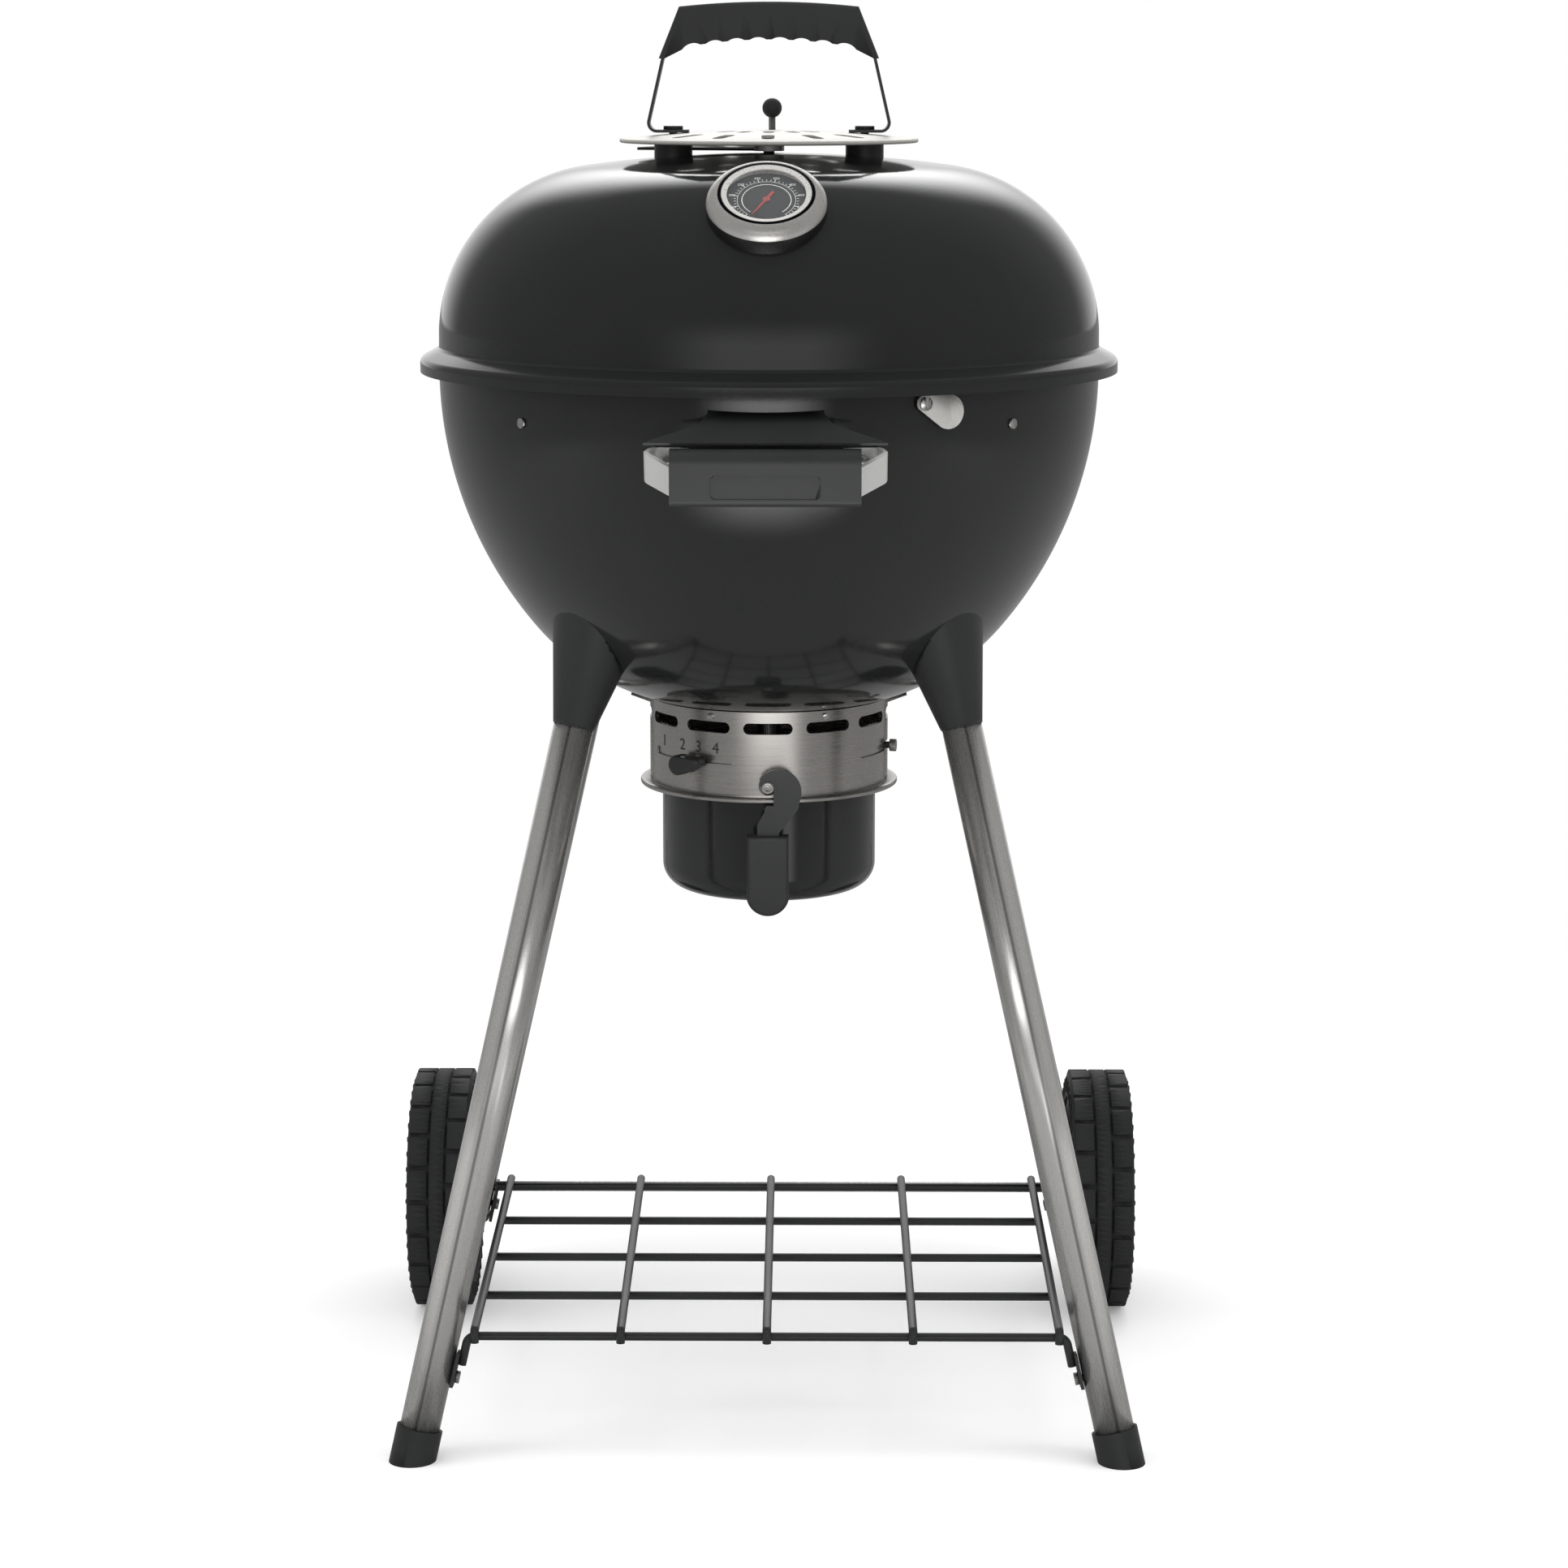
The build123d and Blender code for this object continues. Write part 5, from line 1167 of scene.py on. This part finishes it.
@dataclass
class Thermometer:
    """Printed scale on the lid's dial."""

    radius: float = 0.187
    shoulder_r: float = 0.115
    shoulder_z: float = 0.785136
    shoulder_arc: float = 0.122
    dial_top: float = 0.0063
    first_angle: float = 230.0
    sweep: float = 280.0
    ticks: int = 36
    tick_ring: float = 0.0212
    tick_ink: Point2 = (0.00001, 0.00006)
    long_tick: Point2 = (0.0014, 0.00022)
    short_tick: Point2 = (0.0008, 0.00015)
    every: int = 4
    first_figure: int = 100
    figure_step: int = 50
    figure_ring: float = 0.0238
    figure_height: float = 0.0022
    figure_ink: float = 0.00004
    arc_rings: Tuple[Point2, ...] = ((0.0165, 0.00022), (0.0196, 0.00012))
    arc_ink: float = 0.00003
    arc_steps: int = 120

    def __post_init__(self) -> None:
        """Find the frame of the dial: x to the right, y up the slope, z out of the lid."""
        lean = (self.radius - self.shoulder_r) / self.shoulder_arc
        out = Vector((0.0, -lean, math.sqrt(1 - lean * lean)))
        right = Vector((1.0, 0.0, 0.0))
        self.turn = Matrix((right, out.cross(right), out)).transposed()
        place = Vector((0.0, -self.radius, self.shoulder_z + self.shoulder_arc * out.z))
        self.plane = Matrix.Translation(place + out * self.dial_top) @ self.turn.to_4x4()

    def spoke(self, share: float) -> Vector:
        """Direction in the dial's frame at a share of the scale."""
        angle = math.radians(self.first_angle - self.sweep * share)
        return Vector((math.cos(angle), math.sin(angle), 0.0))

    def print_ticks(self, repeater: Repeater) -> None:
        """Print the long and the short ticks.

        Args:
            repeater: Tree that sets them.
        """
        kinds = (("dial_ticks_long", True, self.long_tick), ("dial_ticks_short", False, self.short_tick))
        for label, major, half in kinds:
            marks = [index for index in range(self.ticks + 1) if (index % self.every == 0) is major]
            spokes = [self.spoke(index / self.ticks) for index in marks]
            out = self.turn.col[2].copy()
            seats = [(self.plane @ (spoke * self.tick_ring), out, self.turn @ spoke) for spoke in spokes]
            form = prism(label, oblong(half), *self.tick_ink)
            seat(repeater.spread(label, form, seats, FINISHES.get(DIAL_INK)), Body.LID, "dial_face")

    def figures(self) -> List[bpy.types.Mesh]:
        """Figures of the scale.

        Returns:
            A mesh for each, in place.
        """
        meshes = []
        for index in range(0, self.ticks + 1, self.every):
            reading = self.first_figure + self.figure_step * (index // self.every)
            mesh = words(f"figure_{index}", str(reading), self.figure_height, self.figure_ink)
            place = self.spoke(index / self.ticks) * self.figure_ring + Vector((0, 0, self.figure_ink))
            mesh.transform(self.plane @ Matrix.Translation(place))
            meshes.append(mesh)
        return meshes

    def arcs(self) -> List[bpy.types.Mesh]:
        """Thin arcs along the scale.

        Returns:
            A mesh for each, in place.
        """
        lift = Vector((0, 0, self.arc_ink))
        spokes = [self.spoke(index / self.arc_steps) for index in range(self.arc_steps + 1)]
        meshes = []
        for ring, half in self.arc_rings:
            work = bmesh.new()
            near, far = (
                [work.verts.new(self.plane @ (spoke * reach + lift)) for spoke in spokes]
                for reach in (ring - half, ring + half)
            )
            for index in range(self.arc_steps):
                work.faces.new((near[index], near[index + 1], far[index + 1], far[index]))
            meshes.append(settle("dial_arc", work))
        return meshes

    def build(self, repeater: Repeater) -> None:
        """Print the ticks, figures and arcs.

        Args:
            repeater: Tree that sets the ticks.
        """
        self.print_ticks(repeater)
        printed = merge("dial_print", self.figures() + self.arcs(), FINISHES.get(DIAL_INK))
        seat(printed, Body.LID, "dial_face")


@dataclass
class CollarPrint:
    """Plain setting numbers stamped on the air collar."""

    radius: float = 0.0871
    figures: Tuple[Tuple[str, float], ...] = (("1", -59.5), ("2", -45.0), ("3", -35.0), ("4", -25.5))
    front: float = -90.0
    height_z: float = 0.4965
    size: float = 0.0085
    thick: float = 0.0001

    def build(self) -> None:
        """Wrap the figures round the collar."""
        parts = []
        for figure, angle in self.figures:
            mesh = words(f"collar_{figure}", figure, self.size, self.thick)
            for vertex in mesh.vertices:
                turn = math.radians(angle + self.front) + vertex.co.x / self.radius
                out = self.radius + vertex.co.z
                vertex.co = (out * math.cos(turn), out * math.sin(turn), self.height_z + vertex.co.y)
            parts.append(mesh)
        seat(merge("collar_numbers", parts, FINISHES.get(COLLAR_INK)), Body.KETTLE, "black_paint")


@dataclass
class WheelDetail:
    """Moulded ribs round the outer and inner walls of the tyres."""

    centre: Point2 = (0.192, 0.094)
    inner: float = 0.236
    width: float = 0.047
    low_r: float = 0.0765
    high_r: float = 0.0875
    count: int = 44
    rib_half_low: float = 0.0011
    rib_half_high: float = 0.0016
    rib_foot: float = -0.0002
    rib_top: float = 0.0007
    rib_edge: float = 0.0003

    def build(self, repeater: Repeater) -> None:
        """Set the ribs on each wall.

        Args:
            repeater: Tree that sets the ribs.
        """
        half, low, high = (self.high_r - self.low_r) / 2, self.rib_half_low, self.rib_half_high
        outline = [(-half, -low), (half, -high), (half, high), (-half, low)]
        for side, sign, body in (("left", -1, Body.WHEEL_LEFT), ("right", 1, Body.WHEEL_RIGHT)):
            seats = []
            for face, out in ((self.inner, -1), (self.inner + self.width, 1)):
                for index in range(self.count):
                    angle = 2 * math.pi * index / self.count
                    spoke = Vector((0, math.cos(angle), math.sin(angle)))
                    middle = spoke * (self.low_r + half) + Vector((sign * face, *self.centre))
                    seats.append((middle, Vector((sign * out, 0, 0)), spoke))
            form = prism(f"wall_rib_{side}", outline, self.rib_foot, self.rib_top, self.rib_edge)
            seat(repeater.spread(f"tyre_ribs_{side}", form, seats, FINISHES.get(TREAD)), body, "tread")


def sheet(name: str, half: Point2) -> bpy.types.Object:
    """Lay one flat face about the origin.

    Args:
        name: The object's name.
        half: Half its width and half its depth.

    Returns:
        The new object.
    """
    mesh = bpy.data.meshes.new(name)
    mesh.from_pydata([(x, y, 0.0) for x, y in oblong(half)], [], [(0, 1, 2, 3)])
    return link(name, mesh)


def aim_at(thing: bpy.types.Object, place: Point3, aim: Point3, axis: str) -> None:
    """Stand a panel or lamp somewhere, with one of its axes towards a point.

    Args:
        thing: The panel or lamp.
        place: Where it stands.
        aim: Point it faces.
        axis: Axis that faces it.
    """
    thing.location = place
    thing.rotation_euler = (Vector(aim) - Vector(place)).to_track_quat(axis, "Y").to_euler()


@dataclass(frozen=True)
class Card:
    """Soft-edged light panel that only shows in reflections; its core has its full strength."""

    name: str
    place: Point3
    aim: Point3
    size: Point2
    strength: float
    core: float = 0.1

    def build(self) -> None:
        """Stand the panel in the studio."""
        half = (self.size[0] / 2, self.size[1] / 2)
        card = sheet(self.name, half)
        aim_at(card, self.place, self.aim, "Z")
        card.visible_camera = card.visible_diffuse = card.visible_shadow = card.visible_transmission = False
        material = bpy.data.materials.new(self.name)
        graph = Graph.blank(material)
        spot = graph.node("ShaderNodeTexCoord", output="Object")
        across, up = graph.node("ShaderNodeSeparateXYZ", inputs={0: spot}).outputs("X", "Y")
        fade = across.size().below(self.core * half[0], half[0]) * up.size().below(self.core * half[1], half[1])
        shown = graph.mix(fade, graph.node("ShaderNodeBsdfTransparent"), graph.glow(self.strength))
        graph.node("ShaderNodeOutputMaterial", inputs={"Surface": shown})
        card.data.materials.append(material)


@dataclass(frozen=True)
class Softbox:
    """Rectangular soft light of some watts, hidden from reflections."""

    name: str
    place: Point3
    aim: Point3
    size: Point2
    power: float

    def build(self) -> None:
        """Hang the light in the studio."""
        data = bpy.data.lights.new(self.name, "AREA")
        data.shape = "RECTANGLE"
        data.size, data.size_y = self.size
        data.energy = self.power
        lamp = link(self.name, data)
        aim_at(lamp, self.place, self.aim, "-Z")
        lamp.visible_camera = False
        lamp.visible_glossy = False


LIGHTS = (
    Softbox("top_box", (0.0, -0.2, 2.8), (0.0, 0.0, 0.6), size=(1.8, 1.6), power=24.0),
    Softbox("left_box", (-2.2, -0.8, 1.3), (0.0, 0.0, 0.5), size=(1.0, 1.8), power=16.0),
    Softbox("right_box", (2.2, -0.8, 1.3), (0.0, 0.0, 0.5), size=(1.0, 1.8), power=16.0),
    Card("back_card", (0.0, 2.2, 2.2), (0.0, 0.0, 0.85), size=(3.0, 2.2), strength=4.0),
    Card("bowl_card", (-0.008, -0.542, 0.545), (0.0, -0.236, 0.715), size=(0.58, 0.34), strength=4.5),
    Card("hood_card", (-0.006, -0.600, 0.702), (0.0, -0.236, 0.746), size=(0.44, 0.075), strength=4.0),
    Card("strip_card", (0.36, -1.0, 0.21), (0.0, 0.0, 0.30), size=(0.40, 0.46), strength=2.0),
)


@dataclass
class Studio:
    """Camera, background and floor, with the lights and panels."""

    lens: float = 91.79
    sensor: float = 36.0
    clip_end: float = 100.0
    pitch: float = 10.46
    distance: float = 2.890
    height: float = 0.990
    azimuth: float = 0.5
    shift: float = 0.00958
    floor_size: float = 40.0
    floor_white: float = 0.86
    floor_mirrored: float = 0.40
    floor_rough: float = 0.9
    floor_level: float = 0.1
    floor_glow: float = 0.20
    floor_fade: Point2 = (0.7, 1.8)
    fill: float = 0.80
    dark: float = 0.24
    ahead: float = 0.80
    behind: Point2 = (0.70, 0.96)
    ahead_width: Point2 = (0.2, 0.7)
    ahead_height: Point2 = (0.05, 0.40)
    ahead_depth: Point2 = (-0.6, 0.0)

    def camera(self) -> None:
        """Set the camera where the photograph was taken from."""
        data = bpy.data.cameras.new("camera")
        data.lens = self.lens
        data.sensor_width = self.sensor
        data.shift_x = self.shift
        data.clip_end = self.clip_end
        turn = math.radians(self.azimuth)
        camera = link("camera", data)
        camera.location = (self.distance * math.sin(turn), -self.distance * math.cos(turn), self.height)
        camera.rotation_euler = (math.radians(90 - self.pitch), 0.0, turn)
        bpy.context.scene.camera = camera

    def world(self) -> None:
        """White to the camera, shaped for reflections, soft fill for the rest."""
        world = bpy.data.worlds.new("studio")
        bpy.context.scene.world = world
        graph = Graph.blank(world)
        spot = graph.node("ShaderNodeTexCoord", output="Generated")
        across, deep, up = graph.node("ShaderNodeSeparateXYZ", inputs={0: spot}).outputs("X", "Y", "Z")
        front = across.size().below(*self.ahead_width) * up.below(*self.ahead_height)
        wall, ahead, fill, white = (
            graph.node("ShaderNodeBackground", inputs={"Color": (1.0, 1.0, 1.0, 1.0), "Strength": level})
            for level in (self.dark, self.dark + self.ahead, self.fill, 1.0)
        )
        back = graph.mix(deep.above(*self.behind), wall, white)
        mirror = graph.mix(front * deep.below(*self.ahead_depth), back, ahead)
        path = graph.node("ShaderNodeLightPath")
        seen, clear, glossy = path.outputs("Is Camera Ray", "Is Transmission Ray", "Is Glossy Ray")
        whole = graph.mix(seen + clear, graph.mix(glossy, fill, mirror), white)
        graph.node("ShaderNodeOutputWorld", inputs={"Surface": whole})

    def floor(self) -> None:
        """Lay a pale floor that keeps the shadows and fades to white for the camera."""
        floor = sheet("floor", (self.floor_size / 2, self.floor_size / 2))
        graph = FinishGraph("studio_floor")
        seen, glossy = graph.node("ShaderNodeLightPath").outputs("Is Camera Ray", "Is Glossy Ray")
        pale, dull = (self.floor_white,) * 3, (self.floor_mirrored,) * 3
        graph.feed("Base Color", graph.blend(glossy, pale, dull))
        graph.fix(Roughness=self.floor_rough, Specular_IOR_Level=self.floor_level)
        body = Signal(graph, graph.shader.outputs["BSDF"])
        lifted = graph.node("ShaderNodeAddShader", inputs={0: body, 1: graph.glow(self.floor_glow)})
        far = graph.vector("LENGTH", graph.place(), output="Value").above(*self.floor_fade)
        total = graph.mix(seen, body, graph.mix(far, lifted, graph.glow(1.0)))
        graph.tree.links.new(total.socket, graph.tree.nodes["Material Output"].inputs["Surface"])
        floor.data.materials.append(graph.material)

    def build(self) -> None:
        """Set the whole studio."""
        self.camera()
        for light in LIGHTS:
            light.build()
        self.world()
        self.floor()
        bpy.context.scene.view_settings.view_transform = "Standard"


def main() -> None:
    """Dress the grill and set the studio."""
    logging.basicConfig(level=logging.INFO, format="%(name)s: %(message)s")
    Studio().build()
    EnamelForms().build()
    DressedSolids().build()
    repeater = Repeater("form_on_seats")
    Thermometer().build(repeater)
    CollarPrint().build()
    WheelDetail().build(repeater)


if __name__ == "__main__":
    main()
